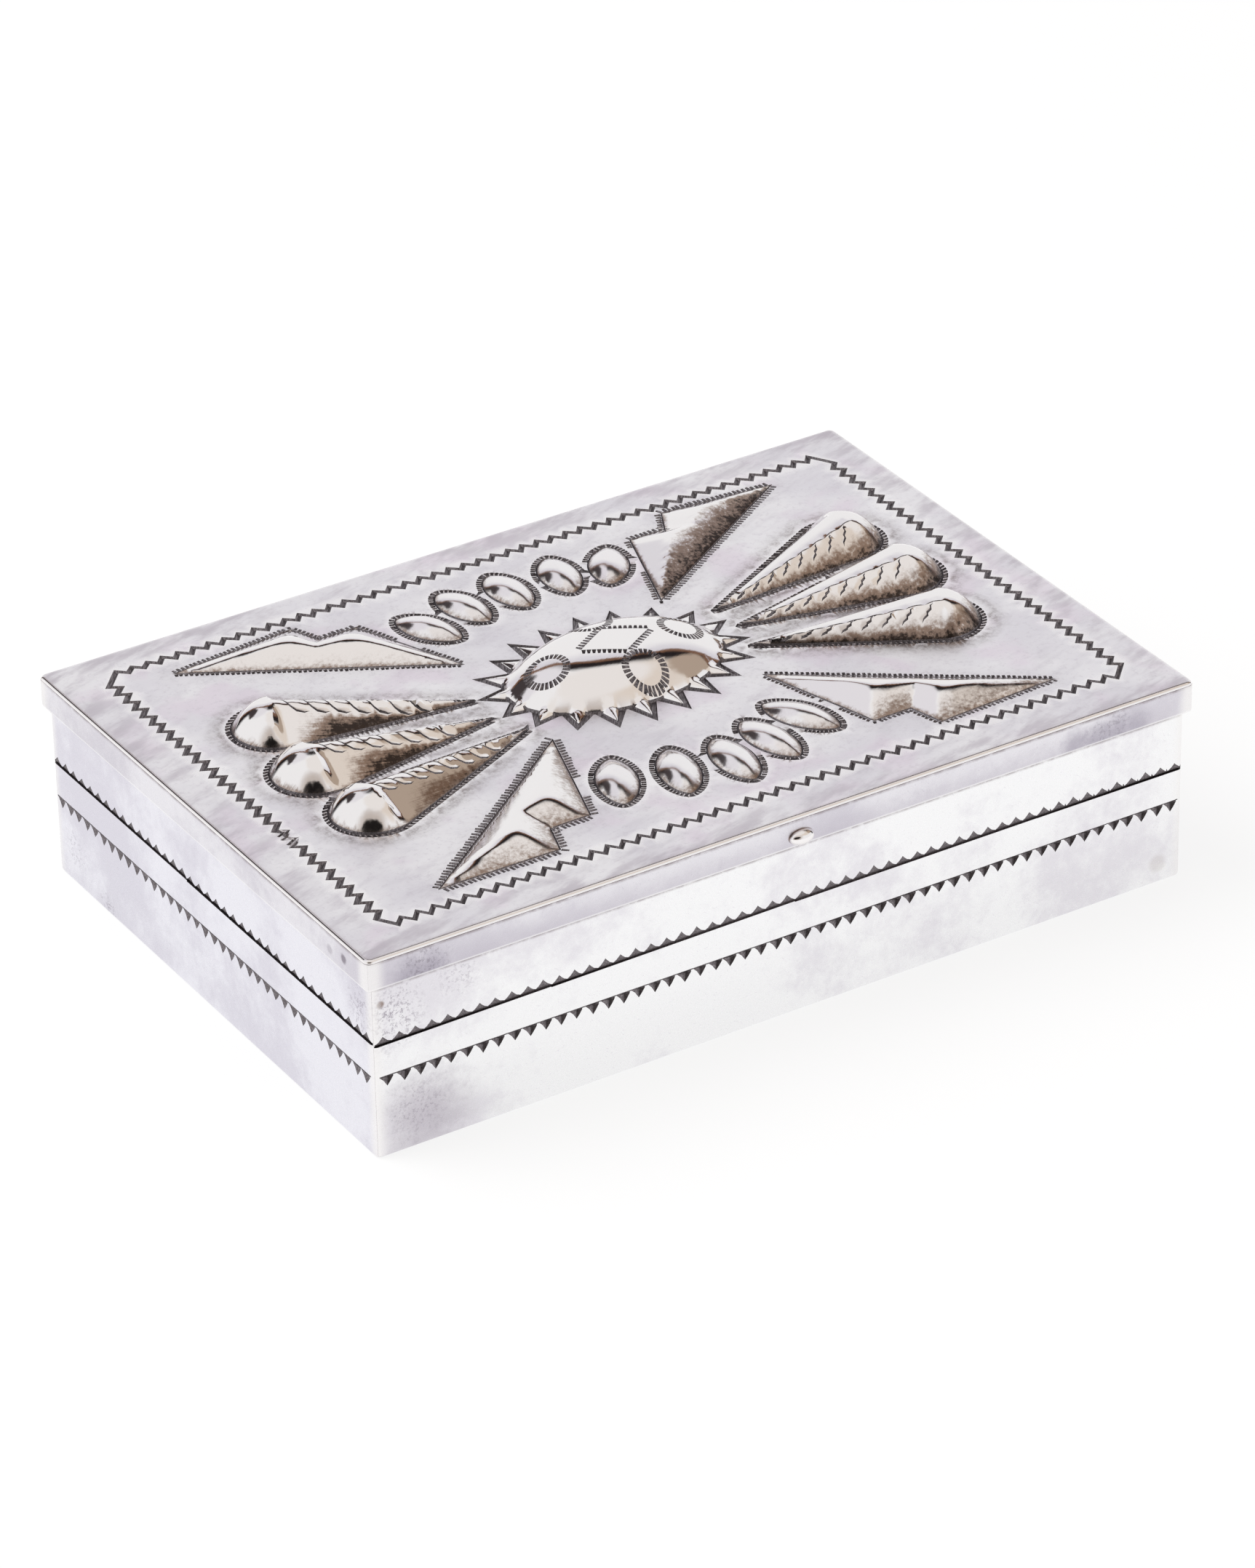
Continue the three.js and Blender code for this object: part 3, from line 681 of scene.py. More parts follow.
def offset_outline(points, distance):
    count = len(points)
    moved = []
    for i in range(count):
        before, here, after = (Vector(points[k % count]) for k in (i - 1, i, i + 1))
        first, second = (here - before).normalized(), (after - here).normalized()
        out = Vector((first.y + second.y, -first.x - second.x))
        if out.length < 1e-6:
            out = Vector((first.y, -first.x))
        out.normalize()
        spread = max(0.45, out.dot(Vector((first.y, -first.x))))
        moved.append(tuple(here + out * distance / spread))
    return moved


def resampled(points, step):
    dense = []
    for (x, y), (fx, fy) in zip(points, [*points[1:], points[0]]):
        steps = max(1, round(math.hypot(fx - x, fy - y) / step))
        for k in range(steps):
            dense.append((x + (fx - x) * k / steps, y + (fy - y) * k / steps))
    return dense


def anticlockwise(points):
    area = sum(a[0] * b[1] - a[1] * b[0] for a, b in zip(points, [*points[1:], points[0]]))
    return points if area > 0 else points[::-1]


def is_inside(x, y, points):
    found = False
    for (ax, ay), (bx, by) in zip(points, [*points[1:], points[0]]):
        if (ay > y) != (by > y) and x < ax + (bx - ax) * (y - ay) / (by - ay):
            found = not found
    return found


# Turns at which points stand at even distances round an oval
def even_turns(count, half_length, half_width):
    fine = 720
    lengths = [0.0]
    for i in range(fine):
        a, b = 2 * math.pi * i / fine, 2 * math.pi * (i + 1) / fine
        run_x = half_length * (math.cos(b) - math.cos(a))
        run_y = half_width * (math.sin(b) - math.sin(a))
        lengths.append(lengths[-1] + math.hypot(run_x, run_y))
    turns = []
    for i in range(count):
        goal = lengths[-1] * i / count
        reached = next(k for k, length in enumerate(lengths) if length >= goal)
        turns.append(2 * math.pi * reached / fine)
    return turns


# Boss: a low oval dome whose foot runs out into a tongue behind each tooth
TOOTH_TURNS = even_turns(2 * TOOTH_COUNT, *TOOTH_REACH)[1::2]
TOOTH_GAPS = [
    ((TOOTH_TURNS[(i + 1) % TOOTH_COUNT] - TOOTH_TURNS[i - 1]) % (2 * math.pi)) / 4
    for i in range(TOOTH_COUNT)
]


def on_boss(turn, share=1.0):
    return (
        BOSS_CENTRE.x + BOSS_HALF_LENGTH * share * math.cos(turn),
        BOSS_CENTRE.y + BOSS_HALF_WIDTH * share * math.sin(turn),
    )


def tongue_height(turn):
    share = min(
        abs(math.remainder(turn - tooth, 2 * math.pi)) / (gap * TONGUE_SHARE)
        for tooth, gap in zip(TOOTH_TURNS, TOOTH_GAPS)
    )
    return TOOTH_HEIGHT * (1 - share * share) + 0.06 if share < 1 else 0.0


def boss_height(x, y):
    across = (x - BOSS_CENTRE.x) / BOSS_HALF_LENGTH
    up = (y - BOSS_CENTRE.y) / BOSS_HALF_WIDTH
    share = math.hypot(across, up)
    return BOSS_HEIGHT * (1 - min(1.0, share) ** BOSS_FULLNESS)


# Feather: a ridge that sinks towards its point, with a crease on each side where the flat of the crest
# turns down into the flank, and a round domed end
class Feather:
    def __init__(self, tip, end, radius, crease, darkening):
        self.tip = Vector(tip)
        self.radius = radius
        self.crease = crease
        self.darkening = darkening
        axis = Vector(end) - self.tip
        self.reach = axis.length
        self.axis = axis.normalized()
        self.side = Vector((-self.axis.y, self.axis.x))
        if self.side.y > 0:
            self.side = -self.side
        self.spread = math.asin(radius / self.reach)
        self.tangent = self.reach * math.cos(self.spread) ** 2

    def place(self, along, across):
        return self.tip + self.axis * along + self.side * across

    def ridge(self, along):
        share = max(0.0, min(1.0, along / self.reach))
        return FEATHER_TIP_HEIGHT + (FEATHER_HEIGHT - FEATHER_TIP_HEIGHT) * share

    def half_width(self, along):
        if along <= self.tangent:
            return max(1e-3, along * math.tan(self.spread))
        return math.sqrt(max(1e-6, self.radius ** 2 - min(0.0, along - self.reach) ** 2))

    def flank_share(self, x, y):
        here = Vector((x, y)) - self.tip
        along, across = here.dot(self.axis), abs(here.dot(self.side))
        if along >= self.reach:
            return along, math.hypot(along - self.reach, across) / self.radius
        return along, across / self.half_width(along)

    # Nearly flat inside the crease and nearly straight outside it, with a short passage to a dome at the end
    def height(self, x, y):
        along, share = self.flank_share(x, y)
        share = min(1.0, share)
        steep = (1 - CREST_FALL * self.crease) / (1 - self.crease ** FLANK_FULLNESS)
        ridged = soft_lower(1 - CREST_FALL * share, steep * (1 - share ** FLANK_FULLNESS), 0.08)
        domed = 1 - share ** END_FULLNESS
        across = abs((Vector((x, y)) - self.tip).dot(self.side))
        turn = math.atan2(along - self.reach, across + 0.2)
        round_end = max(0.0, min(1.0, (turn + END_PASSAGE / 2) / END_PASSAGE))
        round_end *= round_end * (3 - 2 * round_end)
        return self.ridge(along) * (ridged + (domed - ridged) * round_end) + self.rope(x, y)

    # A line along one side, off the crease by a share of the half width
    def crease_line(self, side, offset, step):
        points = []
        for k in range(6, round(0.92 * self.reach / step)):
            along = k * step
            points.append(self.place(along, side * (self.crease + offset) * self.half_width(along)))
        return points

    def rope_width(self, along):
        return min(1.0, 0.45 * along * math.tan(self.spread))

    # The left feathers carry a row of plump commas along the ridge, leaning over its front side
    def rope(self, x, y):
        here = Vector((x, y)) - self.tip
        along, across = here.dot(self.axis), here.dot(self.side)
        if self.axis.x > 0 or not ROPE_START < along < self.reach + 0.5:
            return 0.0
        across /= self.rope_width(along)
        over = (across - 0.35) / 1.05
        if abs(over) > 1:
            return 0.0
        share = ((along - ROPE_START + 0.75 * across) / ROPE_PITCH) % 1.0
        return 0.16 * self.rope_width(along) * (1 - over * over) * (1 - (2 * share - 1) ** 2)

    def outline(self, step):
        points = []
        side_steps = round(self.tangent / step)
        half_arc = math.pi / 2 + self.spread
        arc_steps = round(2 * half_arc * self.radius / step)
        for i in range(side_steps):
            along = self.tangent * i / side_steps
            points.append(self.place(along, along * math.tan(self.spread)))
        for i in range(arc_steps + 1):
            turn = half_arc - 2 * half_arc * i / arc_steps
            points.append(self.place(self.reach + self.radius * math.cos(turn), self.radius * math.sin(turn)))
        for i in range(side_steps - 1, 0, -1):
            along = self.tangent * i / side_steps
            points.append(self.place(along, -along * math.tan(self.spread)))
        return anticlockwise(points)

    def inner_points(self, step):
        points = []
        along = 1.0
        while along < self.reach:
            half = self.half_width(along)
            rows = max(1, round(half / step))
            for k in range(-rows + 1, rows):
                points.append(self.place(along, half * k / rows))
            along += step
        rings = max(2, round(self.radius / step))
        for ring in range(rings):
            radius = self.radius * ring / rings
            count = max(1, round(math.pi * radius / step))
            for k in range(count + 1):
                turn = math.pi / 2 - math.pi * k / count
                points.append(self.place(self.reach + radius * math.cos(turn), radius * math.sin(turn)))
        return points


# Drop: a low oval with pointed ends
class Drop:
    def __init__(self, centre, lean, half_length):
        self.centre = Vector(centre)
        turn = math.pi / 2 + math.radians(lean)
        self.axis = Vector((math.cos(turn), math.sin(turn)))
        self.side = Vector((-self.axis.y, self.axis.x))
        self.half_length = half_length

    def share(self, x, y):
        here = Vector((x, y)) - self.centre
        along = abs(here.dot(self.axis)) / self.half_length
        across = abs(here.dot(self.side)) / DROP_HALF_WIDTH
        low, high = 0.0, 1.5
        for _ in range(24):
            middle = (low + high) / 2
            reach = along / max(1e-6, middle)
            if reach < 1 and across <= middle * (1 - reach * reach) ** 0.65:
                high = middle
            else:
                low = middle
        return high

    def height(self, x, y):
        return DROP_HEIGHT * max(0.0, 1 - self.share(x, y) ** 2.1)

    def ring(self, share, count):
        points = []
        for i in range(count):
            turn = 2 * math.pi * i / count
            along = math.cos(turn)
            across = math.copysign(max(0.0, 1 - along * along) ** 0.65, math.sin(turn))
            spot = self.centre + self.axis * along * self.half_length * share
            spot += self.side * across * DROP_HALF_WIDTH * share
            points.append((spot.x, spot.y))
        return points

    def outline(self, step):
        return self.ring(1.0, round(4 * self.half_length / step / 2) * 2)

    def inner_points(self, step):
        points = [tuple(self.centre)]
        rings = max(2, round(DROP_HALF_WIDTH / step))
        for k in range(1, rings):
            points += self.ring(k / rings, max(8, round(4 * self.half_length * k / rings / step)))
        return points


# Bent arrow: two flat-topped pyramids, their edges well rounded where the sheet was worked over
class Arrow:
    def __init__(self, corners, darkening, tick):
        self.darkening = darkening
        self.tick = tick
        far, outer, notch, inner, near = (Vector(corner) for corner in corners)
        self.corners = anticlockwise(corners)

        def meeting(start, run):
            along = near - far
            return start + run * ((far - start).cross(along) / run.cross(along))

        self.triangles = [
            anticlockwise((far, outer, meeting(outer, notch - outer))),
            anticlockwise((meeting(inner, notch - inner), inner, near)),
        ]

    def height(self, x, y):
        here = Vector((x, y))
        best = 0.0
        for triangle in self.triangles:
            depth = None
            for start, end in zip(triangle, (*triangle[1:], triangle[0])):
                run = (end - start).normalized()
                away = run.cross(here - start) * ARROW_SLOPE
                depth = away if depth is None else soft_lower(depth, away, ARROW_EDGE)
            best = max(best, soft_lower(depth, ARROW_HEIGHT, ARROW_BROW))
        return max(0.0, best)

    def outline(self, step):
        return resampled(self.corners, step)

    def inner_points(self, step):
        xs, ys = [c[0] for c in self.corners], [c[1] for c in self.corners]
        points = []
        rows = round((max(ys) - min(ys)) / (step * 0.87))
        for row in range(rows):
            y = min(ys) + (max(ys) - min(ys)) * (row + 0.5) / rows
            count = round((max(xs) - min(xs)) / step)
            for k in range(count):
                x = min(xs) + (k + 0.5 * (row % 2)) * step
                if is_inside(x, y, self.corners):
                    points.append((x, y))
        return points


# The lower of two heights, eased where they meet
def soft_lower(a, b, blend):
    mix = max(blend - abs(a - b), 0.0) / blend
    return min(a, b) - mix * mix * blend / 4


feathers = [Feather(*sizes) for sizes in FEATHERS]
drops = [Drop(*sizes, BACK_DROP_HALF_LENGTH) for sizes in BACK_DROPS]
drops += [Drop(*sizes, FRONT_DROP_HALF_LENGTH) for sizes in FRONT_DROPS]
arrows = [Arrow(*sizes) for sizes in ARROWS]
chaser = random.Random(11)
top = SheetFace()


def flat(x, y):
    return 0.0


# Oxide stays low on the forms; on the flanks that face the front of the box it is deepened as a painted shade
def smoke_and_shade_on(form, x, y):
    rise_x = (form.height(x + 0.15, y) - form.height(x - 0.15, y)) / 0.3
    rise_y = (form.height(x, y + 0.15) - form.height(x, y - 0.15)) / 0.3
    facing = (0.9 * rise_y - 0.45 * rise_x) / max(0.05, math.hypot(rise_x, rise_y))
    if isinstance(form, Feather):
        along, share = form.flank_share(x, y)
        past_end = 0.0 if form.axis.x > 0 else max(0.0, min(1.0, (along / form.reach - 0.72) / 0.24))
        low = min(1.0, share) ** (2.6 if form.axis.x > 0 else 1.1) * (1 - past_end) * form.darkening
        return low if facing > 0.1 else 0.3 * low ** 3
    if isinstance(form, Arrow):
        turned = max(0.0, min(1.0, facing + 0.35))
        return form.darkening * turned * (1 - 0.8 * form.height(x, y) / ARROW_HEIGHT)
    if isinstance(form, Drop):
        return (0.55 + 0.25 * facing) * max(0.0, (form.share(x, y) - 0.5) / 0.5) ** 1.4
    return 0.0


# A fine line chased round the foot of a form
def foot_line(face, form, smoky):
    outline = form.outline(0.42)
    inner = offset_outline(outline, -0.12)
    outer = offset_outline(outline, 0.1)
    face.chain([face.spot(x, y, form.height(x, y), 0.9, max(0.6, smoke_and_shade_on(form, x, y))) for x, y in inner])
    face.chain([face.spot(x, y, -0.1, 0.0, 1.0, True) for x, y in outline])
    face.chain([face.spot(x, y, 0.0, 0.0, smoky) for x, y in outer])
    for x, y in [*inner, *outline, *outer]:
        face.take(x, y)


# A row of ticks outside an outline, left out where another form or mark is in the way
def hatch(face, outline, pitch, length, widths, depth, lean):
    dense = resampled(outline, 0.1)
    count = len(dense)
    gone = 0.0
    row = []
    for i in range(count):
        here, after = Vector(dense[i]), Vector(dense[(i + 1) % count])
        gone += (after - here).length
        if gone < pitch:
            continue
        gone -= pitch
        run = (Vector(dense[(i + 3) % count]) - Vector(dense[i - 3])).normalized()
        out = Vector((run.y, -run.x))
        way = out * math.cos(lean) + run * math.sin(lean)
        start = here + out * 0.14
        long = length * chaser.uniform(0.85, 1.1)
        if not any(face.is_taken(*(start + way * (long * share + 0.3))) for share in (0.5, 0.75, 1.0)):
            row.append((start, way, long))
    for start, way, long in row:
        face.tick(start, way, long, widths, depth, flat)


# A sunk band round an outline: close strokes of a liner with a thin light ridge between them, and a light rim
# outside. Each stroke has two columns of points for the ridge and two for the dark floor.
def hatch_band(face, outline, pitch, width, lean):
    depth, inside, rim = 0.14, 0.18, 0.1
    columns = ((0.0, False), (0.28, False), (0.42, True), (0.86, True))
    dense = resampled(outline, 0.05)
    count = len(dense)
    around = sum((Vector(b) - Vector(a)).length for a, b in zip(dense, dense[1:]))
    strokes = round(around / pitch)
    rows = {}
    for k in range(strokes):
        wander = chaser.uniform(-0.08, 0.08)
        for n, (share, struck) in enumerate(columns):
            i = round((k + share + wander) * count / strokes) % count
            run = (Vector(dense[(i + 6) % count]) - Vector(dense[i - 6])).normalized()
            out = Vector((run.y, -run.x))
            start = Vector(dense[i]) + out * inside
            way = out + run * lean
            if any(face.is_taken(*(start + way * reach)) for reach in (0.6, 0.75, 0.9)):
                continue
            height = -depth if struck else -0.02
            rows[k * len(columns) + n] = [
                face.spot(*start, height, 0.3, 0.5, struck),
                face.spot(*(start + way * width), height, 0.3, 0.5, struck),
                face.spot(*(start + way * (width + rim)), 0.03, 0.4, 0.0),
            ]
    for k, row in rows.items():
        face.chain(row[:2], closed=False)
        for here, after in zip(row, rows.get((k + 1) % (strokes * len(columns)), [])):
            face.lines.append((here, after))
        face.take_line(face.plan[row[0]], face.plan[row[2]])


# Rim of the sheet, then the feet of all the forms
def rim_ring(inset):
    radius = LID_CORNER - inset
    half_x, half_y = LID_LENGTH / 2 - LID_CORNER, LID_DEPTH / 2 - LID_CORNER
    arcs = []
    for quarter, (sx, sy) in enumerate(((1, 1), (-1, 1), (-1, -1), (1, -1))):
        turns = [math.pi / 2 * (quarter + k / 6) for k in range(7)]
        middle_x, middle_y = sx * half_x, sy * half_y
        arcs.append([(middle_x + radius * math.cos(t), middle_y + radius * math.sin(t)) for t in turns])
    points = []
    for quarter, arc in enumerate(arcs):
        steps = 38 if quarter % 2 == 0 else 26
        (ex, ey), (tx, ty) = arc[-1], arcs[(quarter + 1) % 4][0]
        points += arc
        points += [(ex + (tx - ex) * k / steps, ey + (ty - ey) * k / steps) for k in range(1, steps)]
    return points


LIP = 0.75
rim_count = len(rim_ring(LIP))
top.chain([top.spot(x, y) for x, y in rim_ring(LIP)])

boss_turns = even_turns(200, BOSS_HALF_LENGTH, BOSS_HALF_WIDTH)
boss_outline = [on_boss(turn) for turn in boss_turns]
for share in (0.93, 0.982, 1.0):
    ring = []
    for turn in boss_turns:
        x, y = on_boss(turn, share)
        tongue = tongue_height(turn)
        if share < 1:
            flare = 0.6 * tongue if share > 0.95 else 0.0
            ring.append(top.spot(x, y, boss_height(x, y) + flare, 1.0, 0.1))
        elif tongue > 0:
            ring.append(top.spot(x, y, tongue, 1.0, 0.1))
        else:
            ring.append(top.spot(x, y, -0.12, 0.0, 1.0, True))
        top.take(x, y)
    top.chain(ring)

# Teeth: two broad slanting cuts that meet in a point, with a tongue of the dome running out between them.
# Each line has its share of the tooth's width at the foot, its distance from the point, and its height.
TOOTH_LINES = ((0.95, 0.0, 0.0), (0.88, 0.3, -0.2), (0.56, 1.35, -0.12), (TONGUE_SHARE, 1.6, 0.06))
for turn, gap in zip(TOOTH_TURNS, TOOTH_GAPS):
    point = BOSS_CENTRE + Vector((TOOTH_REACH[0] * math.cos(turn), TOOTH_REACH[1] * math.sin(turn)))
    root = Vector(on_boss(turn))
    inward = (root - point).normalized()
    point += Vector((-inward.y, inward.x)) * chaser.uniform(-0.3, 0.3) - inward * chaser.uniform(-0.3, 0.3)
    for share, back, height in TOOTH_LINES:
        near = Vector(on_boss(turn - gap * share, 1.012))
        far = Vector(on_boss(turn + gap * share, 1.012))
        end = point + inward * back
        path = [near.lerp(end, k / 6) for k in range(6)] + [end.lerp(far, k / 6) for k in range(7)]
        bright = 1.0 if height > 0 else 0.0
        spots = [top.spot(p.x, p.y, height, bright, 0.9 if height < 0 else 0.1, height < 0) for p in path]
        top.chain(spots, closed=False)
        for p in path:
            top.take(p.x, p.y)
    tongue_tip = point + inward * TOOTH_LINES[-1][1]
    for down in (0.2, 0.45, 0.7):
        for aside in (-0.5, 0.0, 0.5):
            foot = Vector(on_boss(turn + gap * TONGUE_SHARE * aside, 1.012))
            p = foot.lerp(tongue_tip, down)
            top.spot(p.x, p.y, 0.06 + TOOTH_HEIGHT * (1 - down) * (1 - aside * aside), 1.0, 0.0)
            top.take(p.x, p.y)

for form in (*feathers, *drops, *arrows):
    foot_line(top, form, 0.7 if isinstance(form, Feather) else 0.1)

# Stamps on the boss: a diamond edged with wedges, and four rings of bars
DIAMOND_CENTRE = BOSS_CENTRE + Vector((0.05, -0.15))
DIAMOND = [Vector((4.75, 0)), Vector((0, 2.9)), Vector((-4.75, 0)), Vector((0, -2.9))]
DIAMOND_TICKS = 9
for start, end in zip(DIAMOND, DIAMOND[1:] + DIAMOND[:1]):
    run = (end - start).normalized()
    out = Vector((run.y, -run.x))
    for k in range(DIAMOND_TICKS):
        here = DIAMOND_CENTRE + start.lerp(end, (k + 0.5) / DIAMOND_TICKS)
        top.tick(here, out, 0.85, (0.56, 0.3), 0.2, boss_height, 1.0, 0.0)
RING_PLACES = [(-9.7, -0.4), (9.1, -0.5), (0.5, -6.3), (0.1, 5.7)]
RING_INSIDE, RING_BARS = 1.95, 28
for place in RING_PLACES:
    for k in range(RING_BARS):
        turn = 2 * math.pi * (k + 0.5) / RING_BARS
        out = Vector((math.cos(turn), math.sin(turn)))
        start = BOSS_CENTRE + Vector(place) + out * RING_INSIDE
        top.tick(start, out, 0.9, (0.33, 0.47), 0.18, boss_height, 1.0, 0.0)

# Ropes of plump commas along the left feathers, stitched lines along the right ones
COMMA = [(0.45, -0.6), (0.15, -0.2), (-0.15, 0.2), (-0.6, 0.8), (-1.2, 1.25), (-2.1, 1.42), (-2.8, 1.3)]
STITCH_START, STITCH_PITCH = 4.2, 2.45
CREST_LINE = [(STITCH_PITCH * k / 5 - 0.1, 0.3 - 0.05 * math.sin(math.pi * k / 5)) for k in range(6)]
HANGING_LINE = [(1.0, 0.26), (0.55, 0.33), (0.5, 0.4), (0.0, 0.45), (-0.05, 0.51), (-0.6, 0.57), (-0.9, 0.66)]
for feather in feathers:
    if feather.axis.x < 0:
        along = ROPE_START + ROPE_PITCH
        while along < feather.reach + 0.6:
            width = feather.rope_width(along)
            path = [feather.place(along + u, v * width) for u, v in COMMA]
            top.stroke(path, 0.22, 0.13, feather.height)
            along += ROPE_PITCH
        along = ROPE_START
        while along < feather.reach + 0.5:
            for k in range(-3, 6):
                x, y = feather.place(along, 0.3 * k * feather.rope_width(along))
                if not top.is_taken(x, y):
                    top.spot(x, y, feather.height(x, y), 1.0, 0.0)
                    top.take(x, y)
            along += 0.32
    else:
        along = STITCH_START
        while along < feather.reach - 0.5:
            for line, wide, depth in ((CREST_LINE, 0.16, 0.07), (HANGING_LINE, 0.26, 0.13)):
                path = [feather.place(along + u, v * feather.half_width(along + u)) for u, v in line]
                top.stroke(path, wide, depth, feather.height)
            along += STITCH_PITCH

# The mesh follows both sides of each crease, up to the marks that cross it
for feather in feathers:
    fresh = []
    for side, offset in ((-1, -0.045), (-1, 0.045), (1, -0.045), (1, 0.045)):
        row = []
        for p in feather.crease_line(side, offset, 0.4):
            if top.is_taken(*p):
                top.chain(row, closed=False)
                row = []
            else:
                row.append(top.spot(*p, feather.height(*p), 1.0, 0.0))
                fresh.append(p)
        top.chain(row, closed=False)
    for p in fresh:
        top.take(*p)

# Hatching round every form
for feather in feathers:
    hatch_band(top, feather.outline(0.45), 0.64, 0.4, 0.6)
for drop in drops:
    hatch_band(top, drop.outline(0.4), 0.46, 0.5, 0.0)
for arrow in arrows:
    hatch(top, arrow.outline(0.45), 0.62, arrow.tick, (0.5, 0.36), 0.17, 0.2)

# Zigzag border: slanting strokes of a broad punch, each side of the lid with its own slope and weight.
# A side has its first and last outer point, the step to the inner points, where these stand along the pitch,
# the number of pitches, and the half widths of its strokes.
ZIGZAG_SIDES = [
    ((-50.2, -34.3), (50.0, -33.6), (0.0, 1.25), 0.53, 47, (0.33, 0.27)),
    ((52.3, -31.2), (52.3, 31.0), (-1.1, 0.0), 0.42, 29, (0.33, 0.38)),
    ((50.3, 34.15), (-49.2, 34.55), (0.0, -1.1), 0.43, 47, (0.38, 0.33)),
    ((-51.75, 31.6), (-51.75, -32.0), (1.2, 0.0), 0.3, 30, (0.32, 0.4)),
]
ZIGZAG_DEPTH, ZIGZAG_RIM = 0.22, 0.06
zigzag, zigzag_widths = [], []
for first, last, step, stand, count, (in_width, out_width) in ZIGZAG_SIDES:
    for k in range(count + 1):
        for share, shift, width in ((k, 0.0, in_width), (k + stand, 1.0, out_width)):
            if share <= count:
                wander = Vector((chaser.uniform(-0.06, 0.06), chaser.uniform(-0.07, 0.07)))
                on_line = Vector(first).lerp(Vector(last), share / count)
                zigzag.append(on_line + Vector(step) * shift + wander)
                zigzag_widths.append(width)


def crossing(a, run_a, b, run_b):
    turn = run_a.cross(run_b)
    if abs(turn) < 0.05:
        return (a + b) / 2
    return a + run_a * ((b - a).cross(run_b) / turn)


edges = {1: [], -1: []}
middle = []
for i, here in enumerate(zigzag):
    before, after = zigzag[i - 1], zigzag[(i + 1) % len(zigzag)]
    first, second = (here - before).normalized(), (after - here).normalized()
    for side in (1, -1):
        a = here + Vector((-first.y, first.x)) * zigzag_widths[i - 1] * side
        b = here + Vector((-second.y, second.x)) * zigzag_widths[i] * side
        corner = crossing(a, first, b, second)
        edges[side].append(top.spot(corner.x, corner.y, ZIGZAG_RIM, 0.6, 0.0))
    middle.append(top.spot(here.x, here.y, -ZIGZAG_DEPTH, 0.0, 1.0, True))
    top.take_line(here, after)
for spots in (*edges.values(), middle):
    top.chain(spots)
    for first, second in zip(spots, spots[1:]):
        top.take_line(top.plan[first], top.plan[second])
# Where the left side was struck twice, a few strokes lie across each other
for y in (-9.4, -10.3, -11.6, -12.3):
    top.tick(Vector((-52.0, y - 0.5)), Vector((0.87, 0.5)), 1.6, (0.32, 0.32), 0.2, flat)

# Inside of every form, then the flat ground between them
for share in (0.06, 0.2, 0.34, 0.46, 0.56, 0.65, 0.73, 0.8, 0.86, 0.91):
    for turn in even_turns(max(9, round(150 * share)), BOSS_HALF_LENGTH, BOSS_HALF_WIDTH):
        x, y = on_boss(turn, share)
        if not top.is_taken(x, y):
            top.spot(x, y, boss_height(x, y), 1.0, 0.0)

INNER_STEPS = {Feather: 0.5, Drop: 0.42, Arrow: 0.45}
for form in (*feathers, *drops, *arrows):
    outline = form.outline(0.45)
    for x, y in form.inner_points(INNER_STEPS[type(form)]):
        if not top.is_taken(x, y) and is_inside(x, y, outline):
            rubbed = 0.75 if isinstance(form, Drop) else 1.0
            top.spot(x, y, form.height(x, y), rubbed, smoke_and_shade_on(form, x, y))
            top.take(x, y)

outlines = [(boss_outline, 0.0)]
outlines += [(form.outline(0.8), 1.0) for form in feathers]
outlines += [(form.outline(0.8), 0.1) for form in (*drops, *arrows)]
feet = [(x, y, smoky) for outline, smoky in outlines for x, y in outline]
foot_tree = KDTree(len(feet))
for k, (x, y, smoky) in enumerate(feet):
    foot_tree.insert((x, y, 0), k)
foot_tree.balance()
GROUND_STEP, SMOKE_REACH = 1.1, 3.2
ground_columns, ground_rows = round(LID_LENGTH / GROUND_STEP), round(LID_DEPTH / GROUND_STEP)
for column in range(1, ground_columns):
    for row in range(1, ground_rows):
        x = (column / ground_columns - 0.5) * LID_LENGTH + chaser.uniform(-0.3, 0.3)
        y = (row / ground_rows - 0.5) * LID_DEPTH + chaser.uniform(-0.3, 0.3)
        if top.is_taken(x, y) or any(is_inside(x, y, outline) for outline, smoky in outlines):
            continue
        _, nearest, away = foot_tree.find((x, y, 0))
        top.spot(x, y, 0.0, 0.0, feet[nearest][2] * max(0.0, 1 - away / SMOKE_REACH))

# The underside follows the same forms with no marks on it
under = SheetFace()
under.chain([under.spot(x, y) for x, y in rim_ring(0.06)])
under_outlines = [(boss_height, boss_outline, None)]
for form in (*feathers, *drops, *arrows):
    under_outlines.append((form.height, form.outline(0.9), form))
for height, outline, form in under_outlines:
    inset = offset_outline(outline, -0.45)
    under.chain([under.spot(x, y) for x, y in inset])
    for x, y in inset:
        under.take(x, y)
    if form is None:
        points = [on_boss(turn, share) for share in (0.1, 0.3, 0.5, 0.65, 0.78, 0.88)
                  for turn in even_turns(max(9, round(60 * share)), BOSS_HALF_LENGTH, BOSS_HALF_WIDTH)]
    else:
        points = form.inner_points(0.95)
    for x, y in points:
        if is_inside(x, y, inset) and not under.is_taken(x, y):
            under.spot(x, y, max(0.0, height(x, y) - 0.06))

mesh = bmesh.new()
rubbed_layer = mesh.verts.layers.float.new("rubbed")
smoke_and_shade_layer = mesh.verts.layers.float.new("smoke_and_shade")
grain_layer = mesh.verts.layers.float_vector.new("grain")


# Place along and across the feather that a point lies on: the cloth ran along it, in long strokes on the left
# feathers and in short, broad ones on the right
def grain_at(x, y):
    for feather in feathers:
        along, share = feather.flank_share(x, y)
        if along > 0 and share <= 1:
            across = (Vector((x, y)) - feather.tip).dot(feather.side)
            return (along, across) if feather.axis.x < 0 else (8 * along, 0.4 * across)
    return 8 * x, 0.4 * y


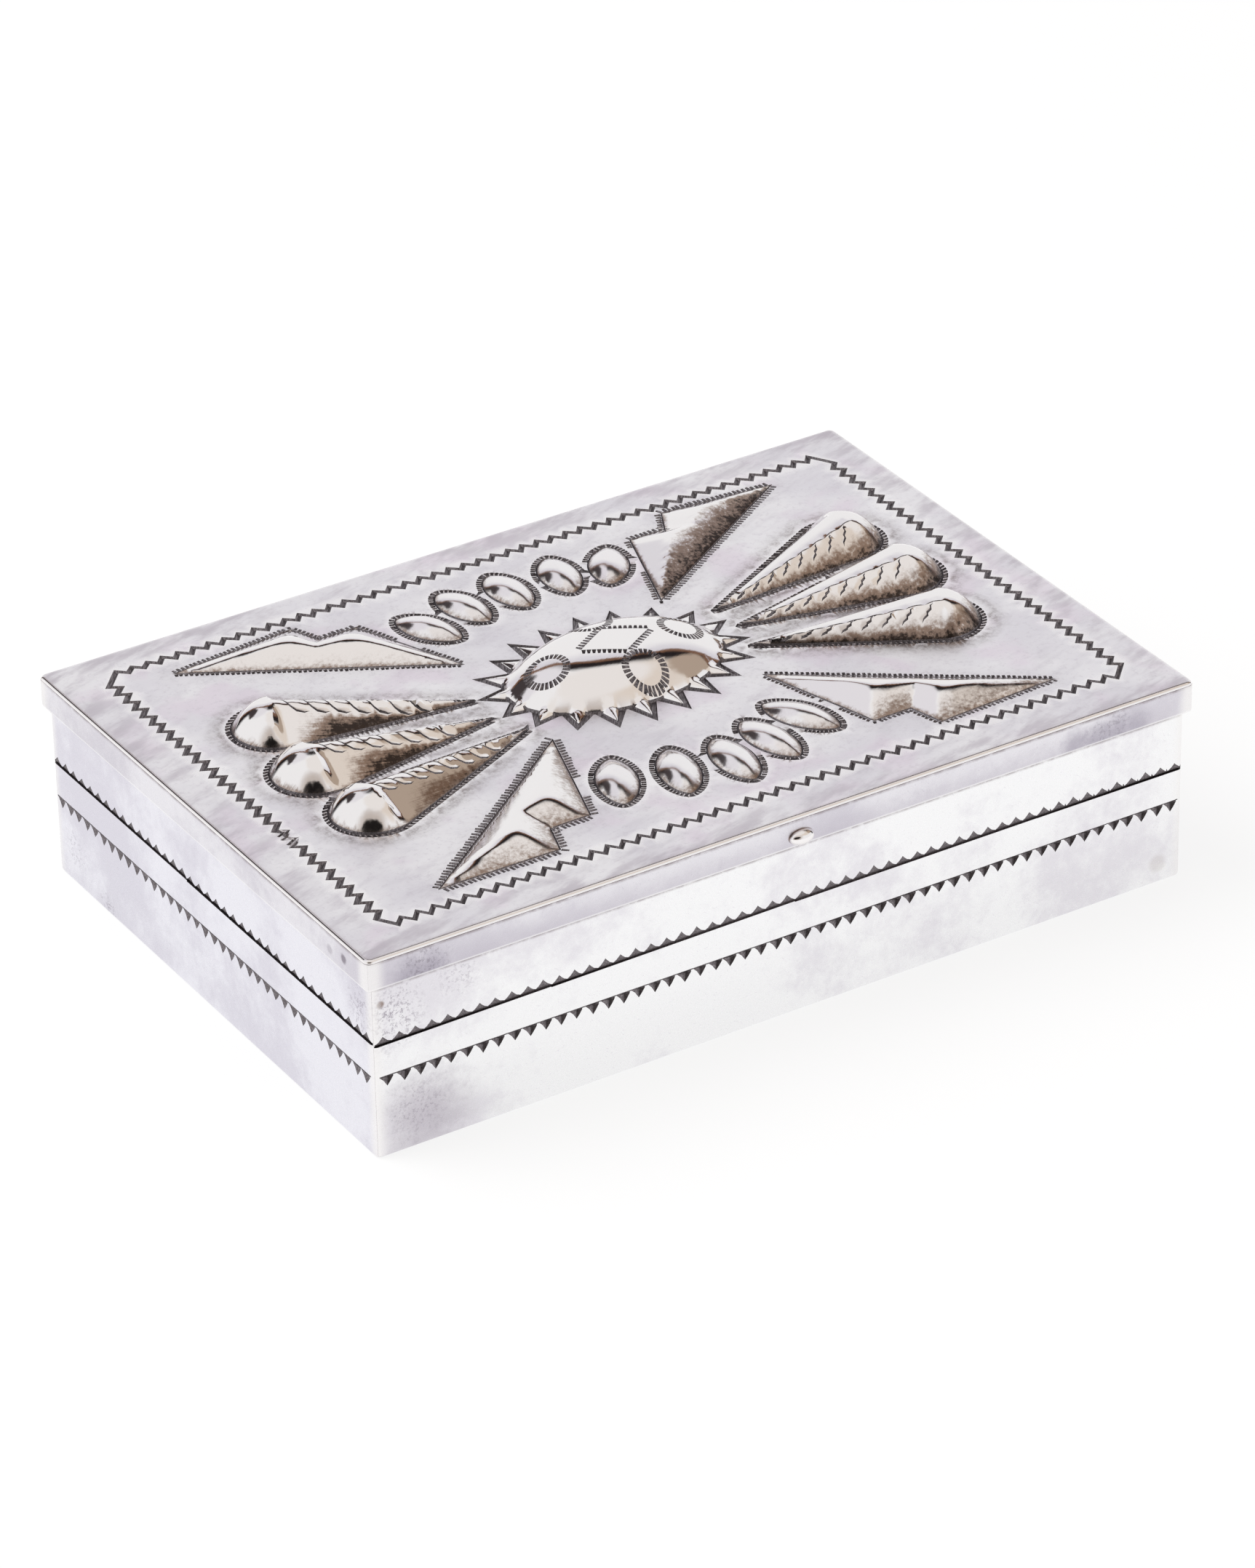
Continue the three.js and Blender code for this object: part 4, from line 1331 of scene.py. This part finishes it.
def add_face_mesh(face, level):
    places, triangles, values = face.triangles()
    corners = []
    for place, (height, rubbed, smoke_and_shade, struck) in zip(places, values):
        vertex = mesh.verts.new((place.x * MM, place.y * MM, (level + height) * MM))
        vertex[rubbed_layer] = rubbed
        vertex[smoke_and_shade_layer] = smoke_and_shade
        vertex[grain_layer] = Vector((*grain_at(*place), 0)) * MM
        corners.append(vertex)
    for triangle in triangles:
        made = mesh.faces.new([corners[i] for i in triangle])
        made.material_index = 1 if any(values[i][3] for i in triangle) else 0
    return corners[:rim_count]


upper_ring = add_face_mesh(top, LID_TOP)
lower_ring = add_face_mesh(under, LID_TOP - LID_GAUGE)
rings = [upper_ring]
for inset, drop in ((0.45, 0.02), (0.26, 0.07), (0.1, 0.17), (0.02, 0.3), (0.0, 0.43)):
    ring = [mesh.verts.new((x * MM, y * MM, (LID_TOP - drop) * MM)) for x, y in rim_ring(inset)]
    for vertex in ring:
        vertex[rubbed_layer] = min(1.0, drop / 0.1)
    rings.append(ring)
rings.append(lower_ring)
for first, second in zip(rings, rings[1:]):
    for i in range(rim_count):
        j = (i + 1) % rim_count
        mesh.faces.new((first[i], first[j], second[j], second[i]))
bmesh.ops.recalc_face_normals(mesh, faces=mesh.faces)
lid_sheet_mesh = bpy.data.meshes.new("chased_lid_sheet")
mesh.to_mesh(lid_sheet_mesh)
mesh.free()
lid_sheet = bpy.data.objects.new("chased_lid_sheet", lid_sheet_mesh)
bpy.context.collection.objects.link(lid_sheet)


# Chased sterling: a satin lavender-grey ground with smudges along the grain, raised forms rubbed to a shine,
# and oxide low on their flanks with a painted shade on those facing the front, brown where it is thin and
# sooty where it is thick
def chased_sterling():
    material, tree = new_material("chased_sterling")
    place = add(tree, "TexCoord", out="Object")
    rubbed = add(tree, "Attribute", out="Fac", attribute_name="rubbed")
    smoke_and_shade = add(tree, "Attribute", out="Fac", attribute_name="smoke_and_shade")
    grain = add(tree, "Attribute", out="Vector", attribute_name="grain")
    wide = add(tree, "TexNoise", {"Vector": place, "Scale": 1 / (14 * MM), "Detail": 4.0})
    tint = add(tree, "TexNoise", {"Vector": place, "Scale": 1 / (8 * MM), "Detail": 3.0})
    speckle = add(tree, "TexNoise", {
        "Vector": place, "Scale": 1 / (0.6 * MM), "Detail": 7.0, "Roughness": 0.72,
    })
    patches = add(tree, "TexNoise", {
        "Vector": place, "Scale": 1 / (2.4 * MM), "Detail": 6.0, "Roughness": 0.62,
    })
    streaks = scratches(tree, grain, 0.15, 4, (0, 90, 0))
    smudges = scratches(tree, place, 2.4, 7, (0, 90, 18))
    hair = scratches(tree, place, 0.2, 8, (0, 90, 24))

    ground = coat(tree, linear("#f6f4f7"), wide, 0.36, 0.64, 1.0, "#e9e6ec")
    ground = coat(tree, ground, smudges, 0.5, 0.75, 0.3, "#cbc4ce")
    ground = coat(tree, ground, tint, 0.5, 0.68, 0.6, "#e9dde9")
    ground = coat(tree, ground, speckle, 0.5, 0.7, 0.4, "#cdc6cf")
    far = add(tree, "VectorMath", {0: place}, operation="ABSOLUTE")
    far = add(tree, "SeparateXYZ", {"Vector": far}).node.outputs
    handled = add(tree, "MapRange", {
        "Value": smudges, "From Min": 0.38, "From Max": 0.66, "To Max": 0.6,
    }, interpolation_type="SMOOTHSTEP")
    for axis, half in (("X", LID_LENGTH / 2), ("Y", LID_DEPTH / 2)):
        ground = coat(tree, ground, far[axis], (half - 7) * MM, (half - 1) * MM, handled, "#c3bbc4")
    scribbled = add(tree, "MapRange", {
        "Value": speckle, "From Min": 0.4, "From Max": 0.6, "To Min": 0.4, "To Max": 1.0,
    }, interpolation_type="SMOOTHSTEP")
    greyed = add(tree, "Math", {0: smoke_and_shade, 1: scribbled}, operation="MULTIPLY")
    ground = add(tree, "Mix", {0: greyed, 6: ground, 7: linear("#6b5a52")}, out=2, data_type="RGBA")

    uneven = add(tree, "Math", {0: streaks, 1: 1.0, 2: 0.55}, operation="MULTIPLY_ADD")
    uneven = add(tree, "Math", {0: patches, 1: 1.0, 2: uneven}, operation="MULTIPLY_ADD")
    uneven = add(tree, "Math", {0: speckle, 1: 0.8, 2: uneven}, operation="MULTIPLY_ADD")
    spread = add(tree, "MapRange", {"Value": uneven, "From Min": 1.25, "From Max": 2.65, "To Max": 2.0})
    # The brown and sooty coats on the forms are oxide, together with a painted shade on the flanks that face
    # the front
    oxide_shade = add(tree, "Math", {0: smoke_and_shade, 1: spread}, operation="MULTIPLY")
    form = coat(tree, linear("#f6f3f3"), oxide_shade, 0.18, 0.75, 0.9, "#8d7464")
    form = coat(tree, form, oxide_shade, 0.75, 1.25, 0.95, "#332c2a")
    colour = add(tree, "Mix", {0: rubbed, 6: ground, 7: form}, out=2, data_type="RGBA")

    dulled = add(tree, "MapRange", {
        "Value": oxide_shade, "From Min": 0.18, "From Max": 0.75, "To Min": 0.07, "To Max": 0.25,
    }, interpolation_type="SMOOTHSTEP")
    rough = add(tree, "MapRange", {"Value": rubbed, "To Min": 0.34, "To Max": dulled})
    marks = add(tree, "Math", {0: speckle, 1: 0.5, 2: hair}, operation="MULTIPLY_ADD")
    bump = add(tree, "Bump", {"Strength": 0.25, "Distance": 0.012 * MM, "Height": marks})
    metal = add(tree, "BsdfPrincipled", {
        "Base Color": colour, "Metallic": 1.0, "Roughness": rough, "Normal": bump,
    })
    add(tree, "OutputMaterial", {"Surface": metal}, out=None)
    return material


chased_silver = chased_sterling()
lid_marks = blackened_silver("greyed_lid_marks", "#625d60", "#938d91")
lid_sheet_mesh.materials.append(chased_silver)
lid_sheet_mesh.materials.append(lid_marks)
fit_piece(lid_sheet, 30, "lid", "lid_top_plate")


# Lift bead
# A melted and pressed bead of silver, soldered low on the front of the skirt to open the lid with a
# thumbnail. Rubbed bright on its crown, with a painted shade in the corner round its foot.

bead_low, bead_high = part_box("thumb_bead")
bead_middle = (bead_low + bead_high) / 2
bead_size = bead_high - bead_low
skirt_face = bead_high.y
bpy.ops.object.select_all(action="DESELECT")
bpy.ops.mesh.primitive_uv_sphere_add(
    segments=40, ring_count=24, radius=1, location=(bead_middle.x, skirt_face, bead_middle.z),
    rotation=(math.pi / 2, 0, 0),
)
bead = bpy.context.object
bead.name = "lift_bead"
bead.data.name = "lift_bead"
bead.scale = (bead_size.x / 2, bead_size.z / 2, bead_size.y)
bpy.ops.object.transform_apply(location=True, rotation=True, scale=True)
bpy.ops.object.mode_set(mode="EDIT")
bpy.ops.mesh.select_all(action="SELECT")
bpy.ops.mesh.bisect(
    plane_co=(0, skirt_face + 0.02 * MM, 0), plane_no=(0, 1, 0), use_fill=True, clear_outer=True,
)
bpy.ops.object.mode_set(mode="OBJECT")
bead.data.materials.append(chased_silver)
rubbed_crown = bead.data.attributes.new("rubbed", "FLOAT", "POINT")
foot_shade = bead.data.attributes.new("smoke_and_shade", "FLOAT", "POINT")
# Painted shade: darkest where the bead meets the skirt, fading up its side
for vertex in bead.data.vertices:
    out = (skirt_face - vertex.co.y) / bead_size.y
    rubbed_crown.data[vertex.index].value = 1.0
    foot_shade.data[vertex.index].value = max(0.0, 1 - out * 3.5)
fit_piece(bead, 40, "lid", "thumb_bead")


# Studio
# A white sweep under the box and soft white light all round. For the metal to mirror there are a white panel
# behind with a dark gap round it, beige light from the front right, and the dark of the camera.

bpy.context.scene.view_settings.view_transform = "Standard"

bpy.ops.object.select_all(action="DESELECT")
bpy.ops.mesh.primitive_plane_add(size=3.0, location=(0, 0, 0))
sweep = bpy.context.object
sweep.name = "white_sweep"
sweep_paper, tree = new_material("white_paper_sweep")
paper = add(tree, "BsdfPrincipled", {"Base Color": linear("#f7f7f8"), "Roughness": 0.9})
rays = add(tree, "LightPath").node.outputs
seen = add(tree, "Math", {0: rays["Is Camera Ray"], 1: rays["Is Glossy Ray"]}, operation="ADD")
seen = add(tree, "Math", {0: seen, 1: rays["Is Transmission Ray"]}, operation="ADD")
share = add(tree, "Math", {0: seen, 1: 0.82}, operation="MULTIPLY")
glow = add(tree, "Emission", {"Color": (1, 1, 1, 1), "Strength": 1.0})
mixed = add(tree, "MixShader", {0: share, 1: paper, 2: glow})
add(tree, "OutputMaterial", {"Surface": mixed}, out=None)
sweep.data.materials.append(sweep_paper)

world = bpy.data.worlds.new("studio")
bpy.context.scene.world = world
world.use_nodes = True
tree = world.node_tree
tree.nodes.clear()
direction = add(tree, "TexCoord", out="Generated")
uneven = add(tree, "TexNoise", {"Vector": direction, "Scale": 4.0, "Detail": 2.0})
PANEL = (0.62, 0.78, 0.10)
WAVER = 0.05
# Soft discs of the room, each laid over those before it.
# A disc has its direction, the dot product at its rim and at its core, and its colour.
ROOM = [
    ((0.45, -0.3, 0.85), 0.78, 0.95, "#eadfd3"),
    ((-0.45, -0.75, 0.47), 0.70, 0.94, "#cdc3bb"),
    ((0.95, 0.06, 0.30), 0.965, 0.99, "#3a3230"),
    (PANEL, 0.42, 0.56, "#262122"),
    ((-0.2, 0.63, 0.75), 0.93, 0.97, "#f1eff3"),
    ((0.1, -0.1, 0.99), 0.86, 0.93, "#f8f4f0"),
    ((0.80, -0.14, 0.58), 0.965, 0.985, "#b8a695"),
    (PANEL, 0.625, 0.665, "#7d5c48"),
    (PANEL, 0.688, 0.70, "#e6e4ea"),
    (PANEL, 0.72, 0.84, "#ffffff"),
    ((-0.32, 0.77, 0.55), 0.972, 0.99, "#453e3f"),
    ((-0.31, -0.80, 0.47), 0.95, 0.975, "#1e1b1a"),
    ((-0.45, -0.75, 0.47), 0.95, 0.975, "#1e1b1a"),
    ((-0.60, -0.64, 0.47), 0.95, 0.975, "#1e1b1a"),
]
room = linear("#ffffff")
for aim, edge, core, colour in ROOM:
    facing = add(tree, "VectorMath", {
        0: direction,
        1: Vector(aim).normalized(),
    }, out="Value", operation="DOT_PRODUCT")
    facing = add(tree, "Math", {0: uneven, 1: WAVER, 2: facing}, operation="MULTIPLY_ADD")
    room = coat(tree, room, facing, edge + WAVER / 2, core + WAVER / 2, 1.0, colour)
plain = add(tree, "Background", {"Color": (1, 1, 1, 1), "Strength": 1.0})
shown = add(tree, "Background", {"Color": room, "Strength": 0.9})
camera_ray = add(tree, "LightPath", out="Is Camera Ray")
either = add(tree, "MixShader", {0: camera_ray, 1: shown, 2: plain})
add(tree, "OutputWorld", {"Surface": either}, out=None)

PANEL_PLACE = Vector((-0.55, 0.35, 0.9))
light = bpy.data.lights.new("soft_panel_left", "AREA")
light.shape = "DISK"
light.size = 0.9
light.energy = 9.0
lamp = bpy.data.objects.new("soft_panel_left", light)
lamp.location = PANEL_PLACE
lamp.rotation_euler = (-PANEL_PLACE).to_track_quat("-Z", "Y").to_euler()
lamp.visible_glossy = False
bpy.context.collection.objects.link(lamp)

# Camera: set low on the left of the front edge, with a long lens
CAMERA_TURN, CAMERA_TILT, CAMERA_ROLL = 31.49283, 120.59063, -1.14397
CAMERA_SHIFT = Vector((-1.12157, 10.72742, 842.9139)) * MM
FOCAL_PIXELS, IMAGE_HEIGHT = 9493.31, 2156
SENSOR = 36.0
looking = Matrix.Rotation(math.radians(CAMERA_ROLL), 3, "Z")
looking = looking @ Matrix.Rotation(math.radians(CAMERA_TILT), 3, "X")
looking = looking @ Matrix.Rotation(math.radians(CAMERA_TURN), 3, "Z")
camera_data = bpy.data.cameras.new("camera")
camera_data.sensor_width = SENSOR
camera_data.lens = FOCAL_PIXELS / IMAGE_HEIGHT * SENSOR
camera_data.clip_end = 20.0
camera = bpy.data.objects.new("camera", camera_data)
bpy.context.collection.objects.link(camera)
axes = Matrix((looking[0], -Vector(looking[1]), -Vector(looking[2]))).transposed()
camera.matrix_world = Matrix.Translation(-(looking.transposed() @ CAMERA_SHIFT)) @ axes.to_4x4()
bpy.context.scene.camera = camera
